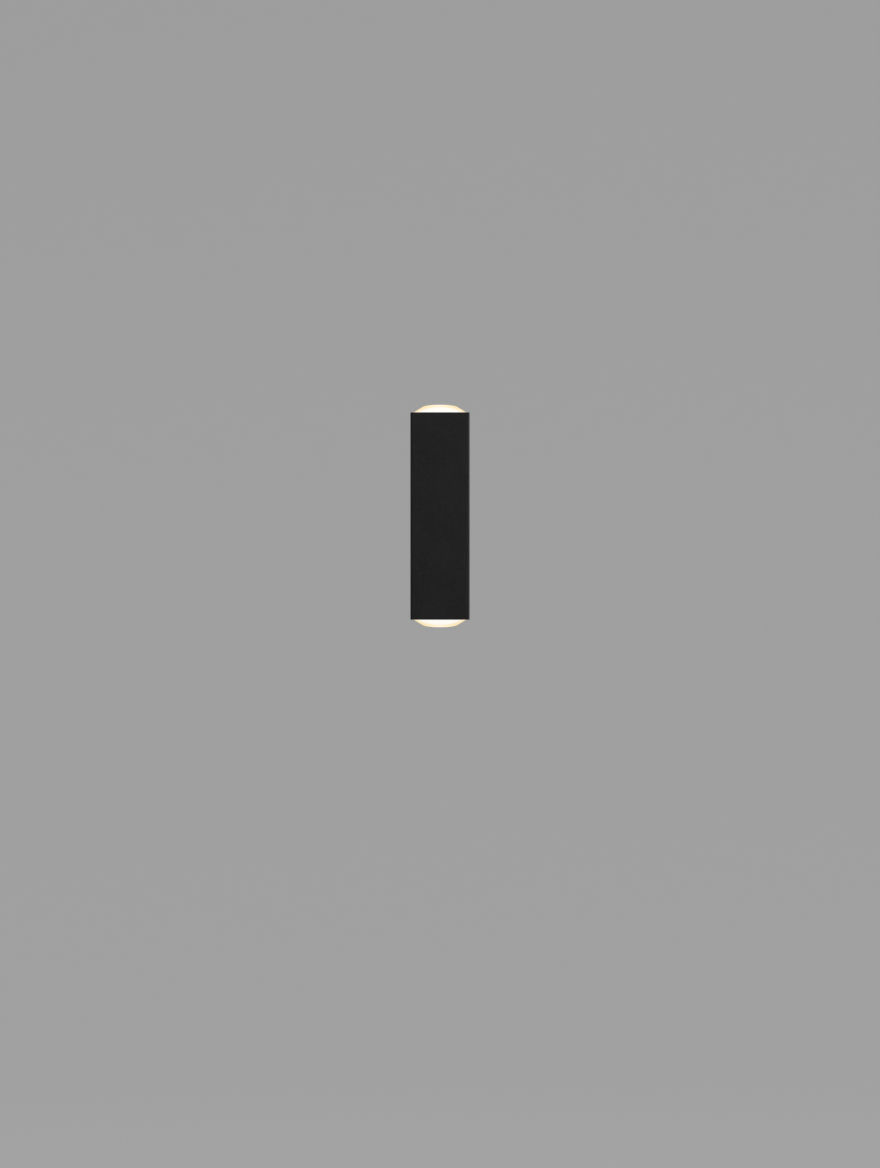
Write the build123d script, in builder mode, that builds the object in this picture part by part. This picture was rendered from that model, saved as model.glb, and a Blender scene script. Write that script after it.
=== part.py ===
from build123d import *
import os
from math import hypot

# Outdoor up-and-down wall light, in millimetres.
# +Z is up and +Y points into the wall. The wall surface is the plane Y = 0, and the origin is the
# centre of the two wall-screw slots on it.

# Light body: a square aluminium tube, cut square at both ends
body_width = 50.0
body_depth = 50.0
body_height = 175.0
body_wall = 1.5
body_corner_radius = 2.0
rim_break = 0.5
window_side = 5.0
window_end = 30.5
window_corner_radius = 5.0

# Rubber gasket between the tube and the wall
gasket_thickness = 1.5
gasket_inset = 0.6

# Lens: a ledge, four sloping flanks and a curved crown above the rim, a hollow skirt inside the tube
lens_clearance = 0.2
lens_land = 0.1
lens_ledge = 1.3
lens_corner_radius = 1.2
crown_width = 27.5
flank_rise = 5.35
crown_rise = 1.55
skirt_depth = 9.0
skirt_wall = 3.0
hollow_depth = 5.0
boss_width = 8.0
cup_radius = 6.0
cup_neck_radius = 4.6
cup_height = 4.0
cup_dome = 1.4

# Lens seal: a square silicone ring in a groove of the skirt
seal_thickness = 1.7
seal_height = 2.2
seal_drop = 2.4
seal_corner_radius = 1.0

# Heat sink behind each lens
sink_clearance = 0.3
sink_plate = 4.0
fin_lead_gap = 5.4
fin_ear_gap = 1.7
fin_thickness = 1.6
fin_height = 10.0
lug_width = 26.0
lug_thickness = 5.0
lug_height = 12.0
sink_screw_spacing = 16.0
post_inset = 6.0
post_width = 8.0
post_depth = 7.0
post_height = 14.0
lead_hole_radius = 2.0

# LED board on its thermal pad
pad_thickness = 0.5
pad_margin = 1.2
board_thickness = 1.6
board_clearance = 2.4
board_screw_margin = 3.4
emitter_width = 3.5
emitter_height = 0.7
dome_radius = 1.5

# Gear tray across the middle of the tube
wiring_depth = 21.0
tray_thickness = 1.2
tray_side_gap = 1.2
tray_flange = 6.0
tray_end_gap = 1.0
tray_bend_radius = 1.6
tray_ear_width = 9.0
tray_ear_length = 12.5
tray_flange_inset = 7.0

# LED driver on the front of the tray
driver_width = 34.0
driver_height = 62.0
driver_depth = 19.0
driver_edge_radius = 2.0
driver_ear_length = 7.0
driver_ear_width = 13.0
driver_ear_thickness = 2.5
driver_label_recess = 0.3
driver_label_margin = 4.0
driver_nozzle_radius = 1.8
driver_nozzle_length = 2.0

# Three-pole terminal block on the back of the tray
pole_count = 3
pole_pitch = 10.0
block_grommet_rise = 25.0
block_driver_gap = 1.0
block_length = 20.0
block_barrel_width = 5.2
block_barrel_height = 8.0
block_neck_width = 8.0
block_neck_height = 4.0
tower_radius = 2.7
tower_height = 12.5
tower_spacing = 10.0
barrel_height = 4.4
barrel_radius = 2.0
barrel_inset = 1.5
terminal_screw_radius = 1.2
terminal_head_radius = 1.9
terminal_head_height = 1.6
terminal_screw_sink = 1.2

# Wall bracket: pressed steel with two side tabs
bracket_thickness = 1.5
bracket_side_gap = 1.0
bracket_end_gap = 5.0
bracket_corner_radius = 4.0
bracket_bend_radius = 2.0
tab_height = 24.0
tab_depth = 16.0
bend_relief = 1.5
bend_relief_depth = 3.0
wall_screw_spacing = 70.0
wall_slot_width = 5.0
wall_slot_length = 12.0

# Cable grommet in the bracket
cable_bore_radius = 3.7
grommet_neck_radius = 5.5
grommet_flange_radius = 7.5
grommet_flange_thickness = 1.5
grommet_nose_radius = 5.0
grommet_length = 5.0

# Grommet for the mains leads in the tray
tray_grommet_radius = 4.0
tray_grommet_bore_radius = 2.6
tray_grommet_flange_radius = 5.4
tray_grommet_flange_thickness = 1.2

# Locking screws: dog-point set screws in clinch nuts of the tube's side walls
lock_inset = 9.0
lock_screw_radius = 2.0
lock_recess = 0.5
lock_shoulder_gap = 0.2
lock_dog_radius = 1.25
lock_dog_overrun = 0.5
lock_slot_clearance = 0.25
lock_socket_width = 2.0
lock_socket_depth = 2.5
clinch_collar_radius = 3.0
clinch_body_radius = 4.0
clinch_tab_gap = 0.5

# Screws: radius of shank, radius and height of head
small_shank_radius = 1.25
small_head_radius = 2.25
small_head_height = 1.4
screw_shank_radius = 1.5
screw_head_radius = 2.75
screw_head_height = 2.0
sink_screw_head_radius = 2.7
sink_screw_length = 6.0
lens_screw_length = 9.5
lens_pilot_depth = 6.0
board_screw_grip = 3.5
tray_screw_grip = 6.0
driver_screw_tip = 1.0
block_screw_gap = 0.2
earth_screw_tip = 1.6
earth_shank_radius = 2.0
earth_head_radius = 3.6
earth_head_height = 2.4
earth_washer_thickness = 0.8
earth_washer_radius = 4.4
slot_width = 0.9
slot_depth = 0.8
hole_clearance = 0.2
thread_clearance = 0.05

# Earth points: in from the tray's lower end, and across and along the bracket
tray_earth_inset = 9.0
bracket_earth_x = 9.0
bracket_earth_z = -19.0
lug_ring_radius = 3.6
lug_ring_thickness = 0.8
lug_barrel_radius = 1.6
lug_barrel_length = 9.0

# Leads: their radii, the gap between neighbours, and the bends of their routes
mains_lead_radius = 1.0
mains_lead_gap = 0.3
mains_bend_radius = 5.0
mains_grommet_bend_radius = 3.0
mains_entry_bend_radius = 6.0
mains_entry_run = 6.0
mains_entry_depth = 2.0
earth_bend_radius = 4.0
earth_lug_run = 2.5
earth_lug_depth = 3.0
led_lead_radius = 0.7
led_lead_gap = 0.3
led_lead_overlap = 3.0
led_lead_rise = 13.0
led_lead_turn = 9.0
led_lead_sink_run = 10.0
led_lead_side_run = 4.0
led_lead_bend_radius = 10.0
led_lead_nozzle_bend_radius = 6.0
led_lead_board_bend_radius = 2.4
tray_grommet_x = -13.0
tray_grommet_inset = 14.0
driver_lead_height = 11.8
driver_lead_x = 4.0

# Places that follow from the sizes above
inner_width = body_width - 2 * body_wall
inner_depth = body_depth - 2 * body_wall
back_y = -gasket_thickness
axis_y = back_y - body_depth / 2
inner_back_y = back_y - body_wall
rim_z = body_height / 2
window_width = body_width - 2 * window_side
window_height = body_height - 2 * window_end
lens_width = inner_width - 2 * lens_clearance
lens_depth = inner_depth - 2 * lens_clearance
crown_edge_height = lens_land + flank_rise
crown_peak_height = crown_edge_height + crown_rise
cup_dome_radius = (cup_neck_radius**2 + cup_dome**2) / (2 * cup_dome)
sink_top_z = rim_z - skirt_depth
sink_bottom_z = sink_top_z - sink_plate
sink_width = inner_width - 2 * sink_clearance
sink_depth = inner_depth - 2 * sink_clearance
sink_screw_z = sink_bottom_z - lug_height / 2
post_screw_z = sink_bottom_z - post_height / 2
post_spacing = inner_width - 2 * post_inset
inner_fin_x = (fin_lead_gap + fin_thickness) / 2
outer_fin_x = (post_spacing - tray_ear_width - fin_thickness) / 2 - fin_ear_gap
hollow_half_width = lens_width / 2 - skirt_wall
hollow_half_depth = lens_depth / 2 - skirt_wall
boss_x = hollow_half_width - boss_width / 2
boss_y = hollow_half_depth - boss_width / 2
board_radius = hypot(boss_x - boss_width / 2, boss_y - boss_width / 2) - board_clearance
board_screw_x = board_radius - board_screw_margin
board_seat_z = sink_top_z + pad_thickness
board_top_z = board_seat_z + board_thickness
lead_hole_y = axis_y - (board_radius + hollow_half_depth) / 2
tray_rear_y = back_y - wiring_depth
tray_front_y = tray_rear_y - tray_thickness
tray_width = inner_width - 2 * tray_side_gap
tray_ear_top_z = sink_bottom_z - tray_end_gap
tray_web_height = 2 * (tray_ear_top_z - tray_ear_length)
tray_flange_height = tray_web_height - 2 * tray_flange_inset
tray_earth_z = tray_earth_inset - tray_web_height / 2
tray_grommet_z = tray_grommet_inset - tray_web_height / 2
driver_screw_z = driver_height / 2 + driver_ear_length / 2
block_floor_z = screw_shank_radius + block_driver_gap - driver_screw_z
block_z = max(tray_grommet_z + block_grommet_rise, block_floor_z + block_length / 2)
barrel_y = tray_rear_y + barrel_height
bracket_width = window_width - 2 * bracket_side_gap
bracket_height = window_height - 2 * bracket_end_gap
tab_face_x = bracket_width / 2
lock_y = back_y - lock_inset
clinch_end_x = tab_face_x + clinch_tab_gap
lock_shoulder_x = tab_face_x + lock_shoulder_gap
lock_slot_radius = lock_dog_radius + lock_slot_clearance
neck_offsets = [(n - (pole_count - 2) / 2) * pole_pitch for n in range(pole_count - 1)]
pole_offsets = [(n - (pole_count - 1) / 2) * pole_pitch for n in range(pole_count)]
tray_earth_x = pole_offsets[-1]


def facing_wall(x, y, z):
    """Plane at a point, looking towards the wall along +Y."""
    return Plane(origin=(x, y, z), x_dir=(1, 0, 0), z_dir=(0, 1, 0))


def facing_room(x, y, z):
    """Plane at a point, looking away from the wall along -Y."""
    return Plane(origin=(x, y, z), x_dir=(1, 0, 0), z_dir=(0, -1, 0))


def facing_down(x, y, z):
    """Plane at a point, looking down along -Z."""
    return Plane(origin=(x, y, z), x_dir=(1, 0, 0), z_dir=(0, 0, -1))


def facing_up(x, y, z):
    """Plane at a point, looking up along +Z."""
    return Plane(origin=(x, y, z))


def facing_side(x, y, z, side):
    """Plane at a point, looking out of the light along +X or -X."""
    return Plane(origin=(x, y, z), x_dir=(0, 1, 0), z_dir=(side, 0, 0))


def headed_screws(planes, shank_radius, head_radius, head_height, length, slotted=False):
    """Screws whose heads stand on the given planes, with plain shanks behind them."""
    with BuildPart() as screws:
        with BuildSketch(*planes):
            Circle(head_radius)
        extrude(amount=head_height)
        with BuildSketch(*planes):
            Circle(shank_radius)
        extrude(amount=-length)
        if slotted:
            with BuildSketch(*[plane.offset(head_height) for plane in planes]):
                Rectangle(2 * head_radius + slot_width, slot_width)
            extrude(amount=-slot_depth, mode=Mode.SUBTRACT)
    return screws.part


def lead(points, radii, radius):
    """Insulated lead along straight runs joined by tangent arcs."""
    with BuildPart() as run:
        with BuildLine() as route:
            FilletPolyline(*points, radius=radii)
        with BuildSketch(Plane(origin=route.line @ 0, z_dir=route.line % 0)):
            Circle(radius)
        sweep(path=route.line)
    return run.part


parts = {}

# Housing: the tube with its rear window, side holes for the clinch nuts and rear screw holes
with BuildPart() as housing:
    with BuildSketch(facing_up(0, axis_y, -rim_z)):
        RectangleRounded(body_width, body_depth, body_corner_radius)
    extrude(amount=body_height)
    rim_edges = housing.faces().filter_by(Axis.Z).edges()
    chamfer(rim_edges, rim_break)
    with BuildSketch(facing_up(0, axis_y, -rim_z)):
        RectangleRounded(inner_width, inner_depth, body_corner_radius - body_wall)
    extrude(amount=body_height, mode=Mode.SUBTRACT)
    with BuildSketch(facing_room(0, back_y, 0)):
        RectangleRounded(window_width, window_height, window_corner_radius)
    extrude(amount=body_wall, mode=Mode.SUBTRACT)
    with BuildSketch(facing_side(-body_width / 2, lock_y, 0, 1)):
        Circle(clinch_collar_radius)
    extrude(amount=body_width, mode=Mode.SUBTRACT)
    sink_screw_planes = [
        facing_wall(side * sink_screw_spacing / 2, back_y, end * sink_screw_z)
        for side in (-1, 1)
        for end in (-1, 1)
    ]
    with Locations(*sink_screw_planes):
        CounterSinkHole(
            screw_shank_radius + hole_clearance,
            sink_screw_head_radius + hole_clearance,
            depth=body_wall,
            counter_sink_angle=90,
        )
parts["housing"] = housing.part

# Gasket: a rubber frame on the back of the tube
with BuildPart() as wall_gasket:
    with BuildSketch(facing_room(0, 0, 0)):
        RectangleRounded(
            body_width - 2 * gasket_inset, body_height - 2 * gasket_inset, body_corner_radius
        )
        RectangleRounded(
            window_width + 2 * gasket_inset,
            window_height + 2 * gasket_inset,
            window_corner_radius,
            mode=Mode.SUBTRACT,
        )
    extrude(amount=gasket_thickness)
parts["wall_gasket"] = wall_gasket.part

# Lens at the top: one outline run across the light and cut to the same outline run from front to
# back, then its corners, seal groove, hollow, LED cup and screw pilots
lens_sides = [
    (facing_room(0, axis_y, rim_z), lens_width / 2, lens_depth / 2, Mode.ADD),
    (facing_side(0, axis_y, rim_z, 1), lens_depth / 2, lens_width / 2, Mode.INTERSECT),
]
crown_ends = [(side * crown_width / 2, crown_edge_height) for side in (-1, 1)]
with BuildPart() as lens_top:
    for plane, half_span, reach, lens_mode in lens_sides:
        with BuildSketch(plane):
            with BuildLine():
                Polyline(
                    crown_ends[0],
                    (lens_ledge - half_span, lens_land),
                    (-half_span, lens_land),
                    (-half_span, -skirt_depth),
                    (half_span, -skirt_depth),
                    (half_span, lens_land),
                    (half_span - lens_ledge, lens_land),
                    crown_ends[1],
                )
                ThreePointArc(crown_ends[0], (0, crown_peak_height), crown_ends[1])
            make_face()
        extrude(amount=reach, both=True, mode=lens_mode)
    with BuildSketch(facing_up(0, axis_y, sink_top_z)):
        RectangleRounded(lens_width, lens_depth, lens_corner_radius)
    extrude(amount=skirt_depth + crown_peak_height, mode=Mode.INTERSECT)
    with BuildSketch(facing_down(0, axis_y, rim_z - seal_drop)):
        Rectangle(lens_width, lens_depth)
        RectangleRounded(
            inner_width - 2 * seal_thickness,
            inner_depth - 2 * seal_thickness,
            seal_corner_radius,
            mode=Mode.SUBTRACT,
        )
    extrude(amount=seal_height, mode=Mode.SUBTRACT)
    with BuildSketch(facing_up(0, axis_y, sink_top_z)):
        Rectangle(2 * hollow_half_width, 2 * hollow_half_depth)
        with GridLocations(2 * boss_x, 2 * boss_y, 2, 2):
            Rectangle(boss_width, boss_width, mode=Mode.SUBTRACT)
    extrude(amount=hollow_depth, mode=Mode.SUBTRACT)
    with BuildSketch(facing_room(0, axis_y, sink_top_z + hollow_depth)):
        with BuildLine():
            Polyline((0, cup_height + cup_dome), (0, 0), (cup_radius, 0), (cup_neck_radius, cup_height))
            RadiusArc((0, cup_height + cup_dome), (cup_neck_radius, cup_height), cup_dome_radius)
        make_face()
    revolve(axis=Axis((0, axis_y, 0), (0, 0, 1)), mode=Mode.SUBTRACT)
    with BuildSketch(facing_up(0, axis_y, sink_top_z)):
        with GridLocations(2 * boss_x, 2 * boss_y, 2, 2):
            Circle(small_shank_radius + thread_clearance)
    extrude(amount=lens_pilot_depth, mode=Mode.SUBTRACT)
parts["lens_top"] = lens_top.part

# Seal round the top lens
with BuildPart() as lens_seal_top:
    with BuildSketch(facing_down(0, axis_y, rim_z - seal_drop)):
        RectangleRounded(inner_width, inner_depth, seal_corner_radius)
        RectangleRounded(
            inner_width - 2 * seal_thickness,
            inner_depth - 2 * seal_thickness,
            seal_corner_radius,
            mode=Mode.SUBTRACT,
        )
    extrude(amount=seal_height)
parts["lens_seal_top"] = lens_seal_top.part

# Heat sink at the top: plate, rear lug, two fins beside the leads, two beside the tray's ears, and the
# two posts that carry the tray
fin_front_y = axis_y - sink_depth / 2
lug_front_y = inner_back_y - lug_thickness
with BuildPart() as heat_sink_top:
    with BuildSketch(facing_down(0, axis_y, sink_top_z)):
        RectangleRounded(sink_width, sink_depth, body_corner_radius)
    extrude(amount=sink_plate)
    with BuildSketch(facing_down(0, inner_back_y - lug_thickness / 2, sink_top_z)):
        Rectangle(lug_width, lug_thickness)
    extrude(amount=sink_plate + lug_height)
    with BuildSketch(facing_down(0, (fin_front_y + lug_front_y) / 2, sink_bottom_z)):
        with Locations(*[(side * x, 0) for side in (-1, 1) for x in (inner_fin_x, outer_fin_x)]):
            Rectangle(fin_thickness, lug_front_y - fin_front_y)
    extrude(amount=fin_height)
    with BuildSketch(facing_down(0, tray_front_y - post_depth / 2, sink_bottom_z)):
        with GridLocations(post_spacing, 1, 2, 1):
            Rectangle(post_width, post_depth)
    extrude(amount=post_height)
    with BuildSketch(facing_wall(0, inner_back_y, sink_screw_z)):
        with GridLocations(sink_screw_spacing, 1, 2, 1):
            Circle(screw_shank_radius + thread_clearance)
    extrude(amount=-lug_thickness, mode=Mode.SUBTRACT)
    with BuildSketch(facing_wall(0, tray_front_y, post_screw_z)):
        with GridLocations(post_spacing, 1, 2, 1):
            Circle(screw_shank_radius + thread_clearance)
    extrude(amount=-post_depth, mode=Mode.SUBTRACT)
    with BuildSketch(facing_down(0, axis_y, sink_top_z)):
        with GridLocations(2 * boss_x, 2 * boss_y, 2, 2):
            Circle(small_shank_radius + hole_clearance)
        with GridLocations(2 * board_screw_x, 1, 2, 1):
            Circle(small_shank_radius + thread_clearance)
        with Locations((0, axis_y - lead_hole_y)):
            Circle(lead_hole_radius)
    extrude(amount=sink_plate, mode=Mode.SUBTRACT)
parts["heat_sink_top"] = heat_sink_top.part

# Thermal pad under the top LED board
with BuildPart() as thermal_pad_top:
    with BuildSketch(facing_up(0, axis_y, sink_top_z)):
        Circle(board_radius - pad_margin)
        with GridLocations(2 * board_screw_x, 1, 2, 1):
            Circle(small_shank_radius + hole_clearance, mode=Mode.SUBTRACT)
    extrude(amount=pad_thickness)
parts["thermal_pad_top"] = thermal_pad_top.part

# LED board at the top: a round metal-core board with flats beside its screws
with BuildPart() as led_board_top:
    with BuildSketch(facing_up(0, axis_y, board_seat_z)):
        Circle(board_radius)
        with GridLocations(2 * board_screw_x, 1, 2, 1):
            Circle(small_shank_radius + hole_clearance, mode=Mode.SUBTRACT)
        with GridLocations(1, 2 * board_radius, 1, 2):
            Rectangle(board_radius / 2, board_screw_margin / 2, mode=Mode.SUBTRACT)
    extrude(amount=board_thickness)
parts["led_board_top"] = led_board_top.part

# LED emitter at the top: a square package with a clear dome
with BuildPart() as led_emitter_top:
    with BuildSketch(facing_up(0, axis_y, board_top_z)):
        Rectangle(emitter_width, emitter_width)
    extrude(amount=emitter_height)
    with Locations((0, axis_y, board_top_z + emitter_height)):
        Sphere(dome_radius, arc_size1=0, align=(Align.CENTER, Align.CENTER, Align.MIN))
parts["led_emitter_top"] = led_emitter_top.part

# Everything in the bottom end is the top end turned over
for top_name in [name for name in parts if name.endswith("_top")]:
    with BuildPart() as bottom_piece:
        mirror(parts[top_name], about=Plane.XY)
    parts[top_name.replace("_top", "_bottom")] = bottom_piece.part

# Screws that hold the boards to the heat sinks and the lenses to the heat sinks
parts["led_board_screws"] = headed_screws(
    [facing_up(side * board_screw_x, axis_y, board_top_z) for side in (-1, 1)]
    + [facing_down(side * board_screw_x, axis_y, -board_top_z) for side in (-1, 1)],
    small_shank_radius,
    small_head_radius,
    small_head_height,
    board_thickness + pad_thickness + board_screw_grip,
)
boss_places = [(i * boss_x, axis_y + j * boss_y) for i in (-1, 1) for j in (-1, 1)]
parts["lens_screws"] = headed_screws(
    [facing_down(x, y, sink_bottom_z) for x, y in boss_places]
    + [facing_up(x, y, -sink_bottom_z) for x, y in boss_places],
    small_shank_radius,
    small_head_radius,
    small_head_height,
    lens_screw_length,
)

# Countersunk screws through the back of the tube into the heat sinks
sink_screw_cone = sink_screw_head_radius - screw_shank_radius
with BuildPart() as heat_sink_screws:
    with BuildSketch(*sink_screw_planes):
        Circle(screw_shank_radius)
    extrude(amount=-sink_screw_length)
    for plane in sink_screw_planes:
        with BuildSketch(plane):
            Circle(sink_screw_head_radius)
        with BuildSketch(plane.offset(-sink_screw_cone)):
            Circle(screw_shank_radius)
        loft()
parts["heat_sink_screws"] = heat_sink_screws.part

# Gear tray: folded sheet with two side flanges and four ears on the heat-sink posts
tray_screw_planes = [
    facing_wall(side * post_spacing / 2, tray_rear_y, end * post_screw_z)
    for side in (-1, 1)
    for end in (-1, 1)
]
driver_screw_planes = [
    facing_room(0, tray_front_y - driver_ear_thickness, end * driver_screw_z) for end in (-1, 1)
]
block_screw_planes = [facing_wall(x, tray_rear_y + block_neck_height, block_z) for x in neck_offsets]
tray_earth_plane = facing_wall(tray_earth_x, tray_rear_y + lug_ring_thickness, tray_earth_z)
with BuildPart() as gear_tray:
    with BuildSketch(facing_room(0, tray_rear_y, 0)):
        Rectangle(tray_width - 2 * tray_bend_radius, tray_web_height)
        with GridLocations(post_spacing, 1, 2, 1):
            Rectangle(tray_ear_width, 2 * tray_ear_top_z)
    extrude(amount=tray_thickness)
    with BuildSketch(facing_up(0, tray_rear_y - tray_flange / 2, -tray_flange_height / 2)):
        Rectangle(tray_width, tray_flange)
        with Locations((0, -tray_thickness)):
            Rectangle(tray_width - 2 * tray_thickness, tray_flange, mode=Mode.SUBTRACT)
    extrude(amount=tray_flange_height)
    bend_edges = gear_tray.edges().filter_by(Axis.Z).group_by(Axis.Y)[-1]
    fillet(bend_edges.sort_by(Axis.X)[0], tray_bend_radius)
    bend_edges = gear_tray.edges().filter_by(Axis.Z).group_by(Axis.Y)[-1]
    fillet(bend_edges.sort_by(Axis.X)[-1], tray_bend_radius)
    with BuildSketch(*[plane.offset(-tray_thickness) for plane in tray_screw_planes]):
        Circle(screw_shank_radius + hole_clearance)
    extrude(amount=tray_thickness, mode=Mode.SUBTRACT)
    with BuildSketch(facing_room(0, tray_rear_y, 0)):
        with Locations(*[(0, end * driver_screw_z) for end in (-1, 1)]):
            Circle(screw_shank_radius + thread_clearance)
        with Locations(*[(x, block_z) for x in neck_offsets]):
            Circle(small_shank_radius + thread_clearance)
        with Locations((tray_earth_x, tray_earth_z)):
            Circle(screw_shank_radius + thread_clearance)
        with Locations((tray_grommet_x, tray_grommet_z)):
            Circle(tray_grommet_radius)
    extrude(amount=tray_thickness, mode=Mode.SUBTRACT)
parts["gear_tray"] = gear_tray.part
parts["tray_screws"] = headed_screws(
    tray_screw_planes,
    screw_shank_radius,
    screw_head_radius,
    screw_head_height,
    tray_thickness + tray_screw_grip,
)

# Grommet where the mains leads pass through the tray
with BuildPart() as tray_grommet:
    grommet_plane = facing_wall(tray_grommet_x, tray_front_y, tray_grommet_z)
    with BuildSketch(grommet_plane):
        Circle(tray_grommet_radius)
    extrude(amount=tray_thickness)
    with BuildSketch(grommet_plane):
        Circle(tray_grommet_flange_radius)
    extrude(amount=-tray_grommet_flange_thickness)
    with BuildSketch(grommet_plane.offset(tray_thickness)):
        Circle(tray_grommet_flange_radius)
    extrude(amount=tray_grommet_flange_thickness)
    with BuildSketch(grommet_plane.offset(-tray_grommet_flange_thickness)):
        Circle(tray_grommet_bore_radius)
    extrude(amount=tray_thickness + 2 * tray_grommet_flange_thickness, mode=Mode.SUBTRACT)
parts["tray_grommet"] = tray_grommet.part

# LED driver: a closed potted case with an ear at each end and nozzles for its leads
driver_lead_y = tray_front_y - driver_lead_height
mains_lead_offset = mains_lead_radius + mains_lead_gap / 2
mains_lead_x = [tray_grommet_x + side * mains_lead_offset for side in (-1, 1)]
with BuildPart() as led_driver:
    with BuildSketch(facing_room(0, tray_front_y, 0)):
        RectangleRounded(driver_width, driver_height, driver_edge_radius)
    extrude(amount=driver_depth)
    fillet(led_driver.faces().sort_by(Axis.Y)[0].edges(), driver_edge_radius / 2)
    with BuildSketch(facing_room(0, tray_front_y - driver_depth, 0)):
        Rectangle(driver_width - 2 * driver_label_margin, driver_height - 2 * driver_label_margin)
    extrude(amount=-driver_label_recess, mode=Mode.SUBTRACT)
    with BuildSketch(facing_room(0, tray_front_y, 0)):
        SlotOverall(driver_height + 2 * driver_ear_length, driver_ear_width, rotation=90)
        with Locations(*[(0, end * driver_screw_z) for end in (-1, 1)]):
            Circle(screw_shank_radius + hole_clearance, mode=Mode.SUBTRACT)
    extrude(amount=driver_ear_thickness)
    with BuildSketch(facing_up(0, driver_lead_y, driver_height / 2)):
        with Locations((-driver_lead_x, 0), (driver_lead_x, 0)):
            Circle(driver_nozzle_radius)
    extrude(amount=driver_nozzle_length)
    with BuildSketch(facing_down(tray_grommet_x, driver_lead_y, -driver_height / 2)):
        SlotCenterToCenter(mains_lead_x[1] - mains_lead_x[0], 2 * driver_nozzle_radius)
    extrude(amount=driver_nozzle_length)
parts["led_driver"] = led_driver.part
parts["driver_screws"] = headed_screws(
    driver_screw_planes,
    screw_shank_radius,
    screw_head_radius,
    screw_head_height,
    driver_ear_thickness + tray_thickness + driver_screw_tip,
)

# Terminal block: barrels joined by necks, with two screw towers on each pole
block_plane = facing_wall(0, tray_rear_y, block_z)
tower_places = [(x, side * tower_spacing / 2) for x in pole_offsets for side in (-1, 1)]
with BuildPart() as terminal_block:
    with BuildSketch(block_plane):
        with Locations(*[(x, 0) for x in pole_offsets]):
            Rectangle(block_barrel_width, block_length)
    extrude(amount=block_barrel_height)
    barrel_edges = terminal_block.edges().filter_by(Axis.Z).group_by(Axis.Y)[-1]
    fillet(barrel_edges, block_barrel_width / 4)
    with BuildSketch(block_plane):
        Rectangle((pole_count - 1) * pole_pitch, block_neck_width)
    extrude(amount=block_neck_height)
    with BuildSketch(block_plane):
        with Locations(*tower_places):
            Circle(tower_radius)
    extrude(amount=tower_height)
    with BuildSketch(facing_up(0, barrel_y, block_z - block_length / 2)):
        with Locations(*[(x, 0) for x in pole_offsets]):
            Circle(barrel_radius)
    extrude(amount=block_length, mode=Mode.SUBTRACT)
    with BuildSketch(block_plane.offset(barrel_height)):
        with Locations(*tower_places):
            Circle(terminal_head_radius + thread_clearance)
    extrude(amount=tower_height, mode=Mode.SUBTRACT)
    with BuildSketch(block_plane):
        with Locations(*[(x, 0) for x in neck_offsets]):
            Circle(small_shank_radius + hole_clearance)
    extrude(amount=block_neck_height, mode=Mode.SUBTRACT)
parts["terminal_block"] = terminal_block.part

# Brass barrels of the terminal block
with BuildPart() as terminal_barrels:
    with BuildSketch(facing_up(0, barrel_y, block_z - block_length / 2 + barrel_inset)):
        with Locations(*[(x, 0) for x in pole_offsets]):
            Circle(barrel_radius - thread_clearance)
            Circle(mains_lead_radius + hole_clearance, mode=Mode.SUBTRACT)
    extrude(amount=block_length - 2 * barrel_inset)
    with BuildSketch(block_plane.offset(barrel_height)):
        with Locations(*tower_places):
            Circle(terminal_screw_radius + thread_clearance)
    extrude(amount=barrel_radius, mode=Mode.SUBTRACT)
parts["terminal_barrels"] = terminal_barrels.part

# Slotted screws of the terminal block, standing in their towers
terminal_head_y = tray_rear_y + tower_height - terminal_screw_sink - terminal_head_height
terminal_tip_y = barrel_y + mains_lead_radius + hole_clearance
parts["terminal_screws"] = headed_screws(
    [facing_wall(x, terminal_head_y, block_z - z) for x, z in tower_places],
    terminal_screw_radius,
    terminal_head_radius,
    terminal_head_height,
    terminal_head_y - terminal_tip_y,
    slotted=True,
)
parts["terminal_block_screws"] = headed_screws(
    block_screw_planes,
    small_shank_radius,
    small_head_radius,
    small_head_height,
    block_neck_height + tray_thickness - block_screw_gap,
)

# Earth point on the tray: a ring lug under a slotted screw
lug_barrel_y = tray_rear_y + lug_barrel_radius
with BuildPart() as earth_lug:
    with BuildSketch(facing_wall(tray_earth_x, tray_rear_y, tray_earth_z)):
        Circle(lug_ring_radius)
        with Locations((0, -lug_ring_radius)):
            Rectangle(2 * lug_barrel_radius, 2 * lug_ring_radius)
        Circle(screw_shank_radius + hole_clearance, mode=Mode.SUBTRACT)
    extrude(amount=lug_ring_thickness)
    with BuildSketch(facing_up(tray_earth_x, lug_barrel_y, tray_earth_z + lug_ring_radius)):
        Circle(lug_barrel_radius)
    extrude(amount=lug_barrel_length - lug_ring_radius)
    with BuildSketch(facing_down(tray_earth_x, lug_barrel_y, tray_earth_z + lug_barrel_length)):
        Circle(mains_lead_radius + thread_clearance)
    extrude(amount=lug_barrel_length - lug_ring_radius - lug_ring_thickness, mode=Mode.SUBTRACT)
parts["earth_lug"] = earth_lug.part
parts["earth_screw"] = headed_screws(
    [tray_earth_plane],
    screw_shank_radius,
    screw_head_radius,
    screw_head_height,
    lug_ring_thickness + tray_thickness + earth_screw_tip,
    slotted=True,
)

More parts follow.
